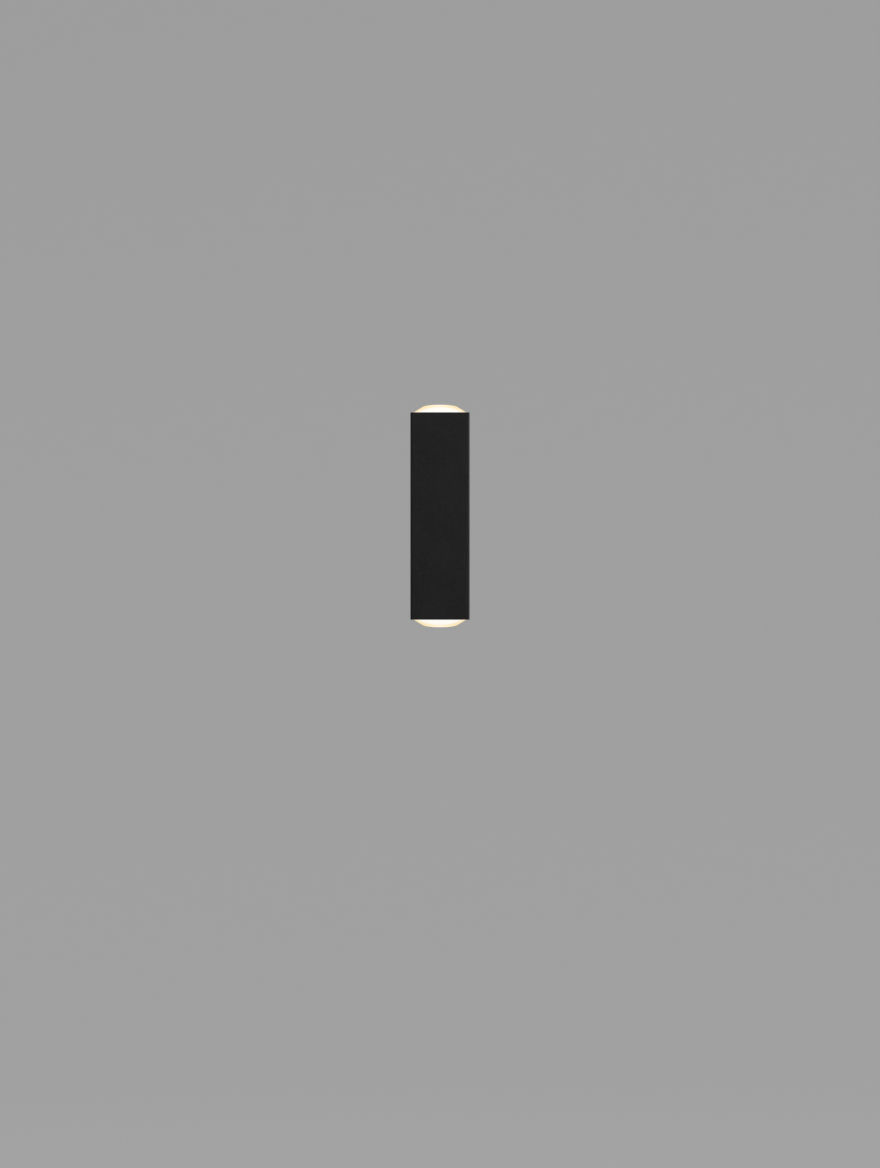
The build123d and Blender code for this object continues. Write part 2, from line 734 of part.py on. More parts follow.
# Wall bracket: plate with side tabs bent towards the room, open slots for the locking screws
with BuildPart() as wall_bracket:
    with BuildSketch(facing_room(0, 0, 0)):
        RectangleRounded(bracket_width, bracket_height, bracket_corner_radius)
        with GridLocations(bracket_width, 1, 2, 1):
            Rectangle(2 * bend_relief_depth, tab_height + 2 * bend_relief, mode=Mode.SUBTRACT)
        with GridLocations(1, wall_screw_spacing, 1, 2):
            SlotOverall(wall_slot_length, wall_slot_width, rotation=90, mode=Mode.SUBTRACT)
        Circle(grommet_neck_radius, mode=Mode.SUBTRACT)
        with Locations((bracket_earth_x, bracket_earth_z)):
            Circle(earth_shank_radius + thread_clearance, mode=Mode.SUBTRACT)
    extrude(amount=bracket_thickness)
    with BuildSketch(facing_up(0, -tab_depth / 2, -tab_height / 2)):
        Rectangle(bracket_width, tab_depth)
        fillet_corners = vertices().group_by(Axis.Y)[-1]
        fillet(fillet_corners, bracket_bend_radius)
        with Locations((0, -bracket_thickness)):
            Rectangle(bracket_width - 2 * bracket_thickness, tab_depth, mode=Mode.SUBTRACT)
    extrude(amount=tab_height)
    with BuildSketch(facing_room(0, 0, 0)):
        Circle(grommet_neck_radius)
    extrude(amount=bracket_thickness, mode=Mode.SUBTRACT)
    with BuildSketch(facing_side(-bracket_width / 2, lock_y, 0, 1)):
        Circle(lock_slot_radius)
        with Locations(((-tab_depth - lock_y) / 2, 0)):
            Rectangle(tab_depth + lock_y, 2 * lock_slot_radius)
    extrude(amount=bracket_width, mode=Mode.SUBTRACT)
parts["wall_bracket"] = wall_bracket.part

# Grommet where the supply cable comes through the bracket
with BuildPart() as cable_grommet:
    with BuildSketch(facing_room(0, 0, 0)):
        Circle(grommet_neck_radius)
    extrude(amount=bracket_thickness)
    with BuildSketch(facing_room(0, -bracket_thickness, 0)):
        Circle(grommet_flange_radius)
    extrude(amount=grommet_flange_thickness)
    with BuildSketch(facing_room(0, -bracket_thickness - grommet_flange_thickness, 0)):
        Circle(grommet_nose_radius)
    extrude(amount=grommet_length - bracket_thickness - grommet_flange_thickness)
    with BuildSketch(facing_room(0, 0, 0)):
        Circle(cable_bore_radius)
    extrude(amount=grommet_length, mode=Mode.SUBTRACT)
parts["cable_grommet"] = cable_grommet.part

# Earth point on the bracket: a washer under a slotted screw
bracket_earth_y = -bracket_thickness
with BuildPart() as bracket_earth_washer:
    with BuildSketch(facing_room(bracket_earth_x, bracket_earth_y, bracket_earth_z)):
        Circle(earth_washer_radius)
        Circle(earth_shank_radius + hole_clearance, mode=Mode.SUBTRACT)
    extrude(amount=earth_washer_thickness)
parts["bracket_earth_washer"] = bracket_earth_washer.part
parts["bracket_earth_screw"] = headed_screws(
    [facing_room(bracket_earth_x, bracket_earth_y - earth_washer_thickness, bracket_earth_z)],
    earth_shank_radius,
    earth_head_radius,
    earth_head_height,
    earth_washer_thickness + bracket_thickness,
    slotted=True,
)

# Clinch nuts pressed into the tube's side walls, and the dog-point screws in them
side_planes = [facing_side(side * body_width / 2, lock_y, 0, side) for side in (-1, 1)]
with BuildPart() as clinch_nuts:
    with BuildSketch(*side_planes):
        Circle(clinch_collar_radius)
    extrude(amount=-body_wall)
    with BuildSketch(*[plane.offset(-body_wall) for plane in side_planes]):
        Circle(clinch_body_radius)
    extrude(amount=clinch_end_x - inner_width / 2)
    with BuildSketch(*side_planes):
        Circle(lock_screw_radius + thread_clearance)
    extrude(amount=clinch_end_x - body_width / 2, mode=Mode.SUBTRACT)
parts["clinch_nuts"] = clinch_nuts.part

lock_planes = [plane.offset(-lock_recess) for plane in side_planes]
lock_body_length = body_width / 2 - lock_recess - lock_shoulder_x
lock_dog_length = lock_shoulder_gap + bracket_thickness + lock_dog_overrun
with BuildPart() as lock_screws:
    with BuildSketch(*lock_planes):
        Circle(lock_screw_radius)
    extrude(amount=-lock_body_length)
    with BuildSketch(*[plane.offset(-lock_body_length) for plane in lock_planes]):
        Circle(lock_dog_radius)
    extrude(amount=-lock_dog_length)
    with BuildSketch(*lock_planes):
        RegularPolygon(lock_socket_width / 2, 6, major_radius=False)
    extrude(amount=-lock_socket_depth, mode=Mode.SUBTRACT)
parts["lock_screws"] = lock_screws.part

# Mains leads from the driver through the tray to the terminal block, and the earth lead to its lug
block_entry_z = block_z - block_length / 2 + barrel_inset + mains_entry_depth
lead_bend_z = block_z - block_length / 2 - mains_entry_run
for name, x, pole_x in zip(("lead_live", "lead_neutral"), mains_lead_x, pole_offsets):
    parts[name] = lead(
        [
            (x, driver_lead_y, -driver_height / 2 - driver_nozzle_length),
            (x, driver_lead_y, tray_grommet_z),
            (x, barrel_y, tray_grommet_z),
            (pole_x, barrel_y, lead_bend_z),
            (pole_x, barrel_y, block_entry_z),
        ],
        (mains_bend_radius, mains_grommet_bend_radius, mains_entry_bend_radius),
        mains_lead_radius,
    )
lug_mouth_z = tray_earth_z + lug_barrel_length
parts["lead_earth"] = lead(
    [
        (pole_offsets[-1], barrel_y, block_entry_z),
        (pole_offsets[-1], barrel_y, lead_bend_z + mains_entry_run / 2),
        (tray_earth_x, lug_barrel_y, lug_mouth_z + earth_lug_run),
        (tray_earth_x, lug_barrel_y, lug_mouth_z - earth_lug_depth),
    ],
    (earth_bend_radius, earth_bend_radius),
    mains_lead_radius,
)

# Low-voltage leads: driver to the top board, top board past the driver's side to the bottom board,
# and bottom board past its other side to the driver
led_lead_z = board_top_z + led_lead_radius
led_lead_end_y = axis_y - board_radius + led_lead_overlap
led_lead_x = led_lead_radius + led_lead_gap / 2
led_sink_z = sink_bottom_z - led_lead_sink_run
driver_lead_z = driver_height / 2 + driver_nozzle_length
driver_side_x = (driver_width + inner_width) / 4
driver_side_z = driver_height / 2 + led_lead_side_run
parts["lead_led_positive"] = lead(
    [
        (-driver_lead_x, driver_lead_y, driver_lead_z),
        (-driver_lead_x, driver_lead_y, driver_lead_z + led_lead_rise),
        (led_lead_x, lead_hole_y, led_sink_z),
        (led_lead_x, lead_hole_y, led_lead_z),
        (led_lead_x, led_lead_end_y, led_lead_z),
    ],
    (led_lead_bend_radius, led_lead_bend_radius, led_lead_board_bend_radius),
    led_lead_radius,
)
parts["lead_led_link"] = lead(
    [
        (-led_lead_x, led_lead_end_y, led_lead_z),
        (-led_lead_x, lead_hole_y, led_lead_z),
        (-led_lead_x, lead_hole_y, led_sink_z),
        (-driver_side_x, driver_lead_y, driver_side_z),
        (-driver_side_x, driver_lead_y, -driver_side_z),
        (-led_lead_x, lead_hole_y, -led_sink_z),
        (-led_lead_x, lead_hole_y, -led_lead_z),
        (-led_lead_x, led_lead_end_y, -led_lead_z),
    ],
    (led_lead_board_bend_radius, *[led_lead_bend_radius] * 4, led_lead_board_bend_radius),
    led_lead_radius,
)
parts["lead_led_negative"] = lead(
    [
        (driver_lead_x, driver_lead_y, driver_lead_z),
        (driver_lead_x, driver_lead_y, driver_lead_z + led_lead_turn),
        (driver_side_x, driver_lead_y, driver_lead_z + led_lead_turn),
        (driver_side_x, driver_lead_y, -driver_side_z),
        (led_lead_x, lead_hole_y, -led_sink_z),
        (led_lead_x, lead_hole_y, -led_lead_z),
        (led_lead_x, led_lead_end_y, -led_lead_z),
    ],
    (
        *[led_lead_nozzle_bend_radius] * 2,
        *[led_lead_bend_radius] * 2,
        led_lead_board_bend_radius,
    ),
    led_lead_radius,
)

os.makedirs("parts", exist_ok=True)
for name, part in parts.items():
    part.label = name
    export_step(part, f"parts/{name}.step")
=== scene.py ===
import math
from contextlib import contextmanager
from itertools import product

import bmesh
import bpy
import numpy as np
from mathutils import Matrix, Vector


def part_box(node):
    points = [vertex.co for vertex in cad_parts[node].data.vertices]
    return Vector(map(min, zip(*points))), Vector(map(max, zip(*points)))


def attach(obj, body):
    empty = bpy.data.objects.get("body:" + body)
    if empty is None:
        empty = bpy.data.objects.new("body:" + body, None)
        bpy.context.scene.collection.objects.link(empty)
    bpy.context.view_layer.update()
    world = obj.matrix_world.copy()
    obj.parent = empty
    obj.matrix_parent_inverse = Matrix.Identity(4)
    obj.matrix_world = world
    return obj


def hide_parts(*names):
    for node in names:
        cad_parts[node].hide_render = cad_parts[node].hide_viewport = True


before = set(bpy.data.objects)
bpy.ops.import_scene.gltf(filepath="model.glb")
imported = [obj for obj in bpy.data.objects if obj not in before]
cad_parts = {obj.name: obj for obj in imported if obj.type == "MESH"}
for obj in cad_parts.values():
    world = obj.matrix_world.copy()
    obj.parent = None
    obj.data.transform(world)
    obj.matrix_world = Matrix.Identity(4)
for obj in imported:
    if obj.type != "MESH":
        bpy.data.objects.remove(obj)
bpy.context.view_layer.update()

# Outdoor up-and-down wall light: finishes and fine shapes on the CAD frame.
# The light's sizes are in millimetres here and in metres in its meshes. The camera, the stage and the
# lamps are in metres.
MM = 0.001
housing_low, housing_high = (np.array(corner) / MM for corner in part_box("housing"))

# Points nearer than these are one point, in metres: in a new form, and once edges are rounded
WELD = 1e-7
EDGE_WELD = 2e-6

# Bodies, ends and sides
LIGHT = "light_body"
BRACKET = "wall_bracket"
ENDS = {"top": 1, "bottom": -1}
SIGNS = (-1, 1)

# Places and directions shared by the pieces
FRONT_Y = housing_low[1]
BACK_Y = housing_high[1]
AXIS_Y = (FRONT_Y + BACK_Y) / 2
HALF_BODY = housing_high[0]
RIM_Z = housing_high[2]
AXIS = np.array([0.0, AXIS_Y, 0.0])
RIGHT = np.array([1.0, 0.0, 0.0])
TO_WALL = np.array([0.0, 1.0, 0.0])
UP = np.array([0.0, 0.0, 1.0])
BRACKET_FRONT_Y = -1.5
TRAY_REAR_Y = -22.5
TRAY_FRONT_Y = -23.7
BOARD_TOP_Z = 80.6

# Edges that turn by more degrees than these stay sharp: on most moulded pieces, on turned and glowing
# ones, and on leads
SHARP_MOULDED = 40.0
SHARP_TURNED = 30.0
SHARP_LEAD = 50.0


def wrapped(points, closed=False):
    """Form of rows of points that run round: its points in one list, and quads between neighbours.

    A closed form joins its last row to its first too.
    """
    rows, columns = points.shape[:2]
    row = np.arange(rows if closed else rows - 1)
    row, column = np.meshgrid(row, np.arange(columns), indexing="ij")
    here = row * columns
    there = (row + 1) % rows * columns
    after = (column + 1) % columns
    quads = np.stack([here + column, here + after, there + after, there + column], axis=-1)
    return points.reshape(-1, 3), quads.reshape(-1, 4)


def unit(vectors):
    """Each vector at a length of one."""
    return vectors / np.linalg.norm(vectors, axis=-1, keepdims=True)


def joined(*forms):
    """Several forms as one: their points stacked, their faces renumbered by what comes before."""
    counts = np.cumsum([0] + [len(points) for points, _ in forms])
    points = np.concatenate([points for points, _ in forms])
    faces = np.concatenate([faces + count for (_, faces), count in zip(forms, counts)])
    return points, faces


def rounded_loop(half_u, half_v, radius, arc_steps, side_steps):
    """Outline of a rounded rectangle: each corner is a quarter circle, each side a straight run."""
    turn = np.linspace(0.0, np.pi / 2, arc_steps + 1)
    quarters = np.arange(4)[:, None] * np.pi / 2 + turn
    signs = np.array([(1, 1), (-1, 1), (-1, -1), (1, -1)])
    centres = signs * (np.array([half_u, half_v]) - radius)
    arcs = centres[:, None] + radius * np.stack([np.cos(quarters), np.sin(quarters)], axis=-1)
    after = np.roll(arcs[:, 0], -1, axis=0)
    along = np.linspace(0.0, 1.0, side_steps + 1)[1:-1, None]
    sides = arcs[:, -1:] + (after - arcs[:, -1])[:, None] * along
    return np.concatenate([arcs, sides], axis=1).reshape(-1, 2)


def ring_patch(outer, inner, rings, origin, across, up):
    """Flat patch between two outlines: each ring is their blend, from the outer to the inner."""
    blend = np.linspace(0.0, 1.0, rings)[:, None, None]
    plane = (1 - blend) * outer + blend * inner
    return wrapped(origin + plane[..., :1] * across + plane[..., 1:] * up)


def stacked(rings):
    """Points of several outlines, each at its own height."""
    return np.stack([np.column_stack([plan, np.full(len(plan), height)]) for plan, height in rings])


def cross_axes(axis):
    """Two directions square to an axis, which turn right-handed about it."""
    helper = UP if abs(axis[2]) < 0.9 else RIGHT
    across = unit(np.cross(helper, axis))
    return across, np.cross(axis, across)


NOT_ZERO = 1e-6
TURNED_SIDES = 72
TURN = np.linspace(0.0, 2 * np.pi, TURNED_SIDES, endpoint=False)


def hexagon(half_flats):
    """Radii of a hexagon round its centre: half its flats over the cosine of the turn from a flat."""
    from_flat = (TURN + np.pi / 6) % (np.pi / 3) - np.pi / 6
    return half_flats / np.cos(from_flat)


def cross_recess(half_width, half_length):
    """Radii of a cross: the further reach of its two arms, each a box round the centre."""
    cosine = np.maximum(np.abs(np.cos(TURN)), NOT_ZERO)
    sine = np.maximum(np.abs(np.sin(TURN)), NOT_ZERO)
    arm_u = np.minimum(half_length / cosine, half_width / sine)
    arm_v = np.minimum(half_length / sine, half_width / cosine)
    return np.maximum(arm_u, arm_v)


def turned(rows, place, axis, closed=False):
    """Form round an axis: each row is one outline of radii at one height along the axis.

    A row's radius is a number for a circle, or one radius for every step of the turn.
    """
    radii = np.stack([np.broadcast_to(radius, TURN.shape) for radius, _ in rows])
    heights = np.array([height for _, height in rows])
    across, up = cross_axes(axis)
    around = np.cos(TURN)[:, None] * across + np.sin(TURN)[:, None] * up
    return wrapped(place + heights[:, None, None] * axis + radii[..., None] * around, closed)


def rounded_profile(corners, radius, steps=3, most=0.45):
    """Profile with its corners rounded: at each, a curve blends the points a radius before and after.

    The blend is (1-t)^2 before + 2t(1-t) corner + t^2 after, over at most a share of each side.
    """
    corners = np.asarray(corners, dtype=float)
    to_last = np.roll(corners, 1, axis=0) - corners
    to_next = np.roll(corners, -1, axis=0) - corners
    last_length = np.linalg.norm(to_last, axis=1, keepdims=True)
    next_length = np.linalg.norm(to_next, axis=1, keepdims=True)
    reach = np.minimum(radius, np.minimum(last_length, next_length) * most)
    before = corners + to_last / last_length * reach
    after = corners + to_next / next_length * reach
    t = np.linspace(0.0, 1.0, steps + 1)[:, None]
    curve = (1 - t) ** 2 * before[:, None] + 2 * t * (1 - t) * corners[:, None] + t**2 * after[:, None]
    return curve.reshape(-1, 2)


@contextmanager
def opened(mesh):
    """A mesh opened for edits and written back after them."""
    shell = bmesh.new()
    shell.from_mesh(mesh)
    yield shell
    shell.to_mesh(mesh)
    shell.free()


def linked(name, data):
    """A new object in the scene, at its origin."""
    made = bpy.data.objects.new(name, data)
    bpy.context.collection.objects.link(made)
    return made


def standing_for(node, name, mesh, body, material, sharp_degrees):
    """Object of a finished mesh, which rides on its body in place of a CAD node."""
    mesh.shade_smooth()
    mesh.set_sharp_from_angle(angle=math.radians(sharp_degrees))
    mesh.materials.append(material)
    made = linked(name, mesh)
    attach(made, body)
    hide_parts(node)
    return made


def piece(name, node, form, body, material, slot, sharp_degrees=SHARP_MOULDED):
    """Piece from a form in millimetres: doubles merged, faces turned outwards."""
    points, faces = form
    mesh = bpy.data.meshes.new(name)
    mesh.from_pydata((points * MM).tolist(), [], faces.tolist())
    with opened(mesh) as shell:
        bmesh.ops.remove_doubles(shell, verts=shell.verts, dist=WELD)
        bmesh.ops.dissolve_degenerate(shell, dist=WELD, edges=shell.edges)
        bmesh.ops.recalc_face_normals(shell, faces=shell.faces)
    return standing_for(node, name, mesh, body, material, sharp_degrees)


def eased(made, width, segments=3, limit_degrees=50.0):
    """Rounds a piece's sharp edges and lets its large faces keep flat shading."""
    edge = made.modifiers.new("edge", "BEVEL")
    edge.width = width * MM
    edge.segments = segments
    edge.limit_method = "ANGLE"
    edge.angle_limit = math.radians(limit_degrees)
    weld = made.modifiers.new("weld", "WELD")
    weld.merge_threshold = EDGE_WELD
    shade = made.modifiers.new("shade", "WEIGHTED_NORMAL")
    shade.keep_sharp = False
    shade.weight = 80


def eased_copy(node, width, body, material, slot, limit_degrees=35.0):
    """A CAD node's form with its triangles merged into whole faces and its edges rounded."""
    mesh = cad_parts[node].data.copy()
    mesh.materials.clear()
    with opened(mesh) as shell:
        bmesh.ops.remove_doubles(shell, verts=shell.verts, dist=EDGE_WELD)
        flat = math.radians(1.0)
        bmesh.ops.dissolve_limit(shell, angle_limit=flat, verts=shell.verts, edges=shell.edges)
    made = standing_for(node, node + "_eased", mesh, body, material, limit_degrees)
    eased(made, width, segments=2, limit_degrees=limit_degrees)


class Value:
    """A number or colour inside a material; arithmetic on it adds Math nodes."""

    def __init__(self, finish, socket):
        self.finish = finish
        self.socket = socket

    def math(self, operation, *others):
        inputs = dict(enumerate((self, *others)))
        return self.finish.node("Math", {"operation": operation}, inputs)

    def __add__(self, other):
        return self.math("ADD", other)

    def __sub__(self, other):
        return self.math("SUBTRACT", other)

    def __rsub__(self, other):
        return self.finish.node("Math", {"operation": "SUBTRACT"}, {0: other, 1: self})

    def __mul__(self, other):
        return self.math("MULTIPLY", other)

    def __truediv__(self, other):
        return self.math("DIVIDE", other)

    def __pow__(self, other):
        return self.math("POWER", other)

    def __abs__(self):
        return self.math("ABSOLUTE")

    __radd__ = __add__
    __rmul__ = __mul__


class Finish:
    """One procedural material on a Principled shader."""

    def __init__(self, name, **constants):
        self.material = bpy.data.materials.new(name)
        self.material.use_nodes = True
        self.tree = self.material.node_tree
        self.shader = self.tree.nodes["Principled BSDF"]
        self.feed_shader(constants)
        self.place = self.node("TexCoord", output="Object")

    def feed(self, node, socket, value):
        if isinstance(value, Value):
            self.tree.links.new(value.socket, node.inputs[socket])
        else:
            node.inputs[socket].default_value = value

    def feed_shader(self, sockets):
        """Feeds the shader's sockets, whose names have underscores for spaces."""
        for socket, value in sockets.items():
            self.feed(self.shader, socket.replace("_", " "), value)

    def node(self, kind, settings=None, inputs=None, output=0):
        """Any node: its settings first, then the values or links of its sockets."""
        made = self.tree.nodes.new("ShaderNode" + kind)
        for setting, value in (settings or {}).items():
            if setting == "stops":
                ramp = made.color_ramp.elements
                ramp[0].position, ramp[0].color = value[0]
                ramp[1].position, ramp[1].color = value[-1]
                for position, colour in value[1:-1]:
                    ramp.new(position).color = colour
            else:
                setattr(made, setting, value)
        for socket, value in (inputs or {}).items():
            self.feed(made, socket, value)
        return Value(self, made.outputs[output])

    def noise(self, scale, detail=2.0, roughness=0.5, place=None):
        """Even noise from 0 to 1 with about one cell for each 1/scale metres."""
        cells = {"Scale": scale, "Detail": detail, "Roughness": roughness}
        return self.node("TexNoise", None, {"Vector": place or self.place} | cells)

    def grain(self, across, along, detail, roughness):
        """Noise with one number of cells to a metre across the light and another along its height."""
        inputs = {"Vector": self.place, "Scale": (across, across, along)}
        return self.noise(1.0, detail, roughness, self.node("Mapping", None, inputs))

    def along(self, axis):
        """One of a point's three object coordinates, in metres."""
        return self.node("SeparateXYZ", None, {0: self.place}, output=axis)

    def mix(self, factor, first, second):
        """Colour between two colours."""
        inputs = {"Factor": factor, 6: first, 7: second}
        return self.node("Mix", {"data_type": "RGBA"}, inputs, output=2)

    def smooth_step(self, value, low, high):
        """0 below low, 1 above high, a smooth S between them."""
        settings = {"interpolation_type": "SMOOTHSTEP"}
        inputs = {"Value": value, "From Min": low, "From Max": high}
        return self.node("MapRange", settings, inputs)

    def shade(self, colour, roughness=None, height=None, bump=0.0, depth=0.0, **others):
        """Feeds the shader: colour, roughness, bump with its depth in millimetres, and others."""
        others["Base_Color"] = colour
        if roughness is not None:
            others["Roughness"] = roughness
        if height is not None:
            inputs = {"Strength": bump, "Distance": depth * MM, "Height": height}
            others["Normal"] = self.node("Bump", None, inputs)
        self.feed_shader(others)
        return self.material


def rgb(red, green, blue):
    return (red, green, blue, 1.0)


def grey(level):
    return rgb(level, level, level)


def scaled(tone, factor):
    """A colour with its three parts made lighter or darker by one factor, up to white."""
    return rgb(*(min(1.0, part * factor) for part in tone[:3]))


# Finishes
def powder_coat():
    """Fine-texture black powder coat: small soft grains and a faint slow change of tone."""
    coat = Finish("powder_coat_black", Specular_IOR_Level=0.11)
    grain = coat.noise(1200.0, roughness=0.6)
    cloud = coat.noise(45.0)
    speck = coat.smooth_step(grain, 0.32, 0.70)
    tone = 0.7 * speck + 0.3 * cloud
    colour = coat.mix(tone, rgb(0.0022, 0.0021, 0.0021), rgb(0.0100, 0.0098, 0.0097))
    roughness = 0.44 + 0.16 * grain + 0.06 * cloud
    return coat.shade(colour, roughness, grain, bump=0.5, depth=0.20)


# Lens: its outline over the rim, which its finish follows too
LENS_BASE = 22.0
FLANK_RISE = 5.35
CROWN_HALF = 13.75
CROWN_RISE = 1.55

# Light in the lens: amber beside a hip, below the crown's edge and at its corners, and in rings over
# the LED, each with its radius
LENS_WHITE = rgb(0.945, 0.935, 0.905)
LENS_AMBER = rgb(0.93, 0.715, 0.32)
HIP_FOOT_WIDTH = 5.0
HIP_GROWTH = 9.0
HIP_AMBER = 0.90
EDGE_AMBER = 0.5
CORNER_AMBER = 0.30
CROWN_RINGS = [
    (0.0, 0.0), (2.2, 0.0), (3.0, 0.30), (3.6, 0.12), (4.4, 0.16),
    (5.0, 0.86), (6.2, 0.50), (8.5, 0.64), (13.7, 0.66),
]


def lens_glow():
    """Lit clear lens: white low on the flanks and over the LED, amber towards hips and crown edge.

    Climb is the share of the way up a flank. Beside a hip the amber fades in a straight line, over a
    width that grows with the climb. Below the crown's edge it grows with the climb's fourth power. On
    the crown it grows towards the corners, and rings show a white core, a pale dome and the LED's cup.
    """
    glow = Finish(
        "lens_acrylic_lit", Roughness=0.07, IOR=1.49, Specular_IOR_Level=0.15, Emission_Strength=1.0
    )
    across_x = abs(glow.along("X"))
    across_y = abs(glow.along("Y") - AXIS_Y * MM)
    outer = across_x.math("MAXIMUM", across_y)
    inner = across_x.math("MINIMUM", across_y)
    radius = (across_x**2.0 + across_y**2.0) ** 0.5
    limits = {"Value": outer, "From Min": LENS_BASE * MM, "From Max": CROWN_HALF * MM}
    climb = glow.node("MapRange", None, limits)
    hip_width = HIP_FOOT_WIDTH * MM + HIP_GROWTH * MM * climb
    beside_hip = HIP_AMBER * (1 - (outer - inner) / hip_width).math("MAXIMUM", 0.0)
    flank = 1 - (1 - EDGE_AMBER * climb**4.0) * (1 - beside_hip)
    to_corner = (inner / (CROWN_HALF * MM)) ** 2.0
    last_ring = CROWN_RINGS[-1][0]
    stops = [(ring / last_ring, grey(amber)) for ring, amber in CROWN_RINGS]
    rings = glow.node("ValToRGB", {"stops": stops}, {"Fac": radius / (last_ring * MM)})
    crown = rings + CORNER_AMBER * to_corner
    on_crown = outer.math("LESS_THAN", CROWN_HALF * MM)
    colour = glow.mix(on_crown * crown + (1 - on_crown) * flank, LENS_WHITE, LENS_AMBER)
    return glow.shade(rgb(0.02, 0.018, 0.014), Emission_Color=colour)


def rubber(name, tone):
    """Moulded rubber: matt, with a fine skin and a little bloom."""
    skin = Finish(name, Specular_IOR_Level=0.2)
    grain = skin.noise(900.0, detail=3.0)
    bloom = skin.noise(120.0, detail=3.0)
    colour = skin.mix(bloom, tone, scaled(tone, 1.45))
    return skin.shade(colour, 0.68 + 0.18 * bloom, grain, bump=0.25, depth=0.1)


def plated_steel(name, low, high, roughness):
    """Plated or polished steel: slow clouds in its tone and short rolling marks."""
    plate = Finish(name, Metallic=1.0)
    patch = plate.noise(110.0, detail=3.0)
    marks = plate.grain(1400.0, 110.0, detail=3.0, roughness=0.6)
    colour = plate.mix(0.5 * patch + 0.5 * marks, low, high)
    return plate.shade(colour, roughness + 0.14 * marks + 0.06 * patch, marks, bump=0.08, depth=0.06)


# The socket's floor and mouth across the light: the painted shade is darkest at the floor and gone at
# the mouth
SOCKET_FLOOR_X = 22.2
SOCKET_MOUTH_X = 24.4


def socket_steel():
    """Steel of the locking screws: grey at the end face, with painted shade that darkens the socket down
    to its floor.
    """
    steel = Finish("steel_socket", Metallic=1.0)
    patch = steel.noise(500.0, detail=3.0)
    # Painted shade: the steel's tone fades to near black from the socket's mouth down to its floor
    unshaded_share = steel.smooth_step(abs(steel.along("X")), SOCKET_FLOOR_X * MM, SOCKET_MOUTH_X * MM)
    steel_tone = steel.mix(patch, rgb(0.17, 0.17, 0.174), rgb(0.27, 0.27, 0.275))
    colour = steel.mix(unshaded_share, grey(0.012), steel_tone)
    return steel.shade(colour, 0.42 + 0.14 * patch, patch, bump=0.1, depth=0.04)


def cast_aluminium():
    """Die-cast aluminium: soft orange-peel skin with paler and darker flow."""
    casting = Finish("aluminium_cast", Metallic=1.0)
    peel = casting.noise(700.0, detail=3.0)
    flow = casting.noise(60.0, detail=4.0, roughness=0.6)
    colour = casting.mix(flow, rgb(0.50, 0.505, 0.51), rgb(0.68, 0.685, 0.69))
    return casting.shade(colour, 0.42 + 0.16 * flow, peel, bump=0.3, depth=0.12)


def sheet_aluminium():
    """Mill-finish sheet: long fine rolling lines along its length."""
    mill = Finish("aluminium_sheet", Metallic=1.0)
    lines = mill.grain(2600.0, 24.0, detail=4.0, roughness=0.65)
    cloud = mill.noise(50.0)
    colour = mill.mix(0.6 * lines + 0.4 * cloud, rgb(0.60, 0.61, 0.62), rgb(0.80, 0.805, 0.81))
    return mill.shade(colour, 0.26 + 0.18 * lines, lines, bump=0.12, depth=0.05)


def moulded_plastic(name, low, high, roughness):
    """Moulded plastic: spark-eroded texture and a slight drift of tone."""
    shell = Finish(name)
    spark = shell.noise(1500.0)
    drift = shell.noise(70.0)
    colour = shell.mix(drift, low, high)
    return shell.shade(colour, roughness + 0.12 * spark, spark, bump=0.25, depth=0.08)


def brass():
    """Turned brass: fine rings of tool marks and a warm tarnish."""
    metal = Finish("brass_turned", Metallic=1.0)
    rings = metal.grain(300.0, 3000.0, detail=3.0, roughness=0.6)
    tarnish = metal.noise(400.0, detail=3.0)
    colour = metal.mix(tarnish, rgb(0.62, 0.43, 0.15), rgb(0.80, 0.60, 0.26))
    return metal.shade(colour, 0.24 + 0.2 * tarnish, rings, bump=0.1, depth=0.04)


def lead_skin(name, tone, stripe=None):
    """Insulated lead: smooth soft plastic, with a second colour along stripes where it has them."""
    skin = Finish(name)
    drift = skin.noise(150.0)
    colour = skin.mix(drift, scaled(tone, 0.8), tone)
    if stripe:
        turn = skin.node("Attribute", {"attribute_name": "stripe"}, None, "Fac")
        colour = skin.mix(skin.smooth_step(turn, 0.05, 0.15), colour, stripe)
    return skin.shade(colour, 0.36 + 0.1 * drift, skin.noise(1200.0), bump=0.08, depth=0.05)


FIELD_START = 0.6
FIELD_FULL = 0.9


def circuit_board():
    """White solder mask over copper: a speckled mask and two soft-edged conductor fields."""
    mask = Finish("board_mask_white")
    speck = mask.noise(1600.0)
    field = mask.smooth_step(abs(mask.along("X")), FIELD_START * MM, FIELD_FULL * MM)
    colour = mask.mix(field, rgb(0.70, 0.70, 0.66), rgb(0.84, 0.84, 0.81))
    return mask.shade(colour, 0.34 + 0.12 * speck, field + 0.2 * speck, bump=0.2, depth=0.08)


def emitter_glow():
    """LED emitter: yellow phosphor that glows, in fine cells of two tones."""
    cells = Finish("emitter_phosphor", Roughness=0.25, Emission_Strength=1.0)
    cell = cells.noise(1800.0)
    colour = cells.mix(cell, rgb(0.95, 0.72, 0.22), rgb(1.0, 0.84, 0.36))
    light = cells.mix(cell, rgb(1.0, 0.86, 0.55), rgb(1.0, 0.95, 0.78))
    return cells.shade(colour, Emission_Color=light)


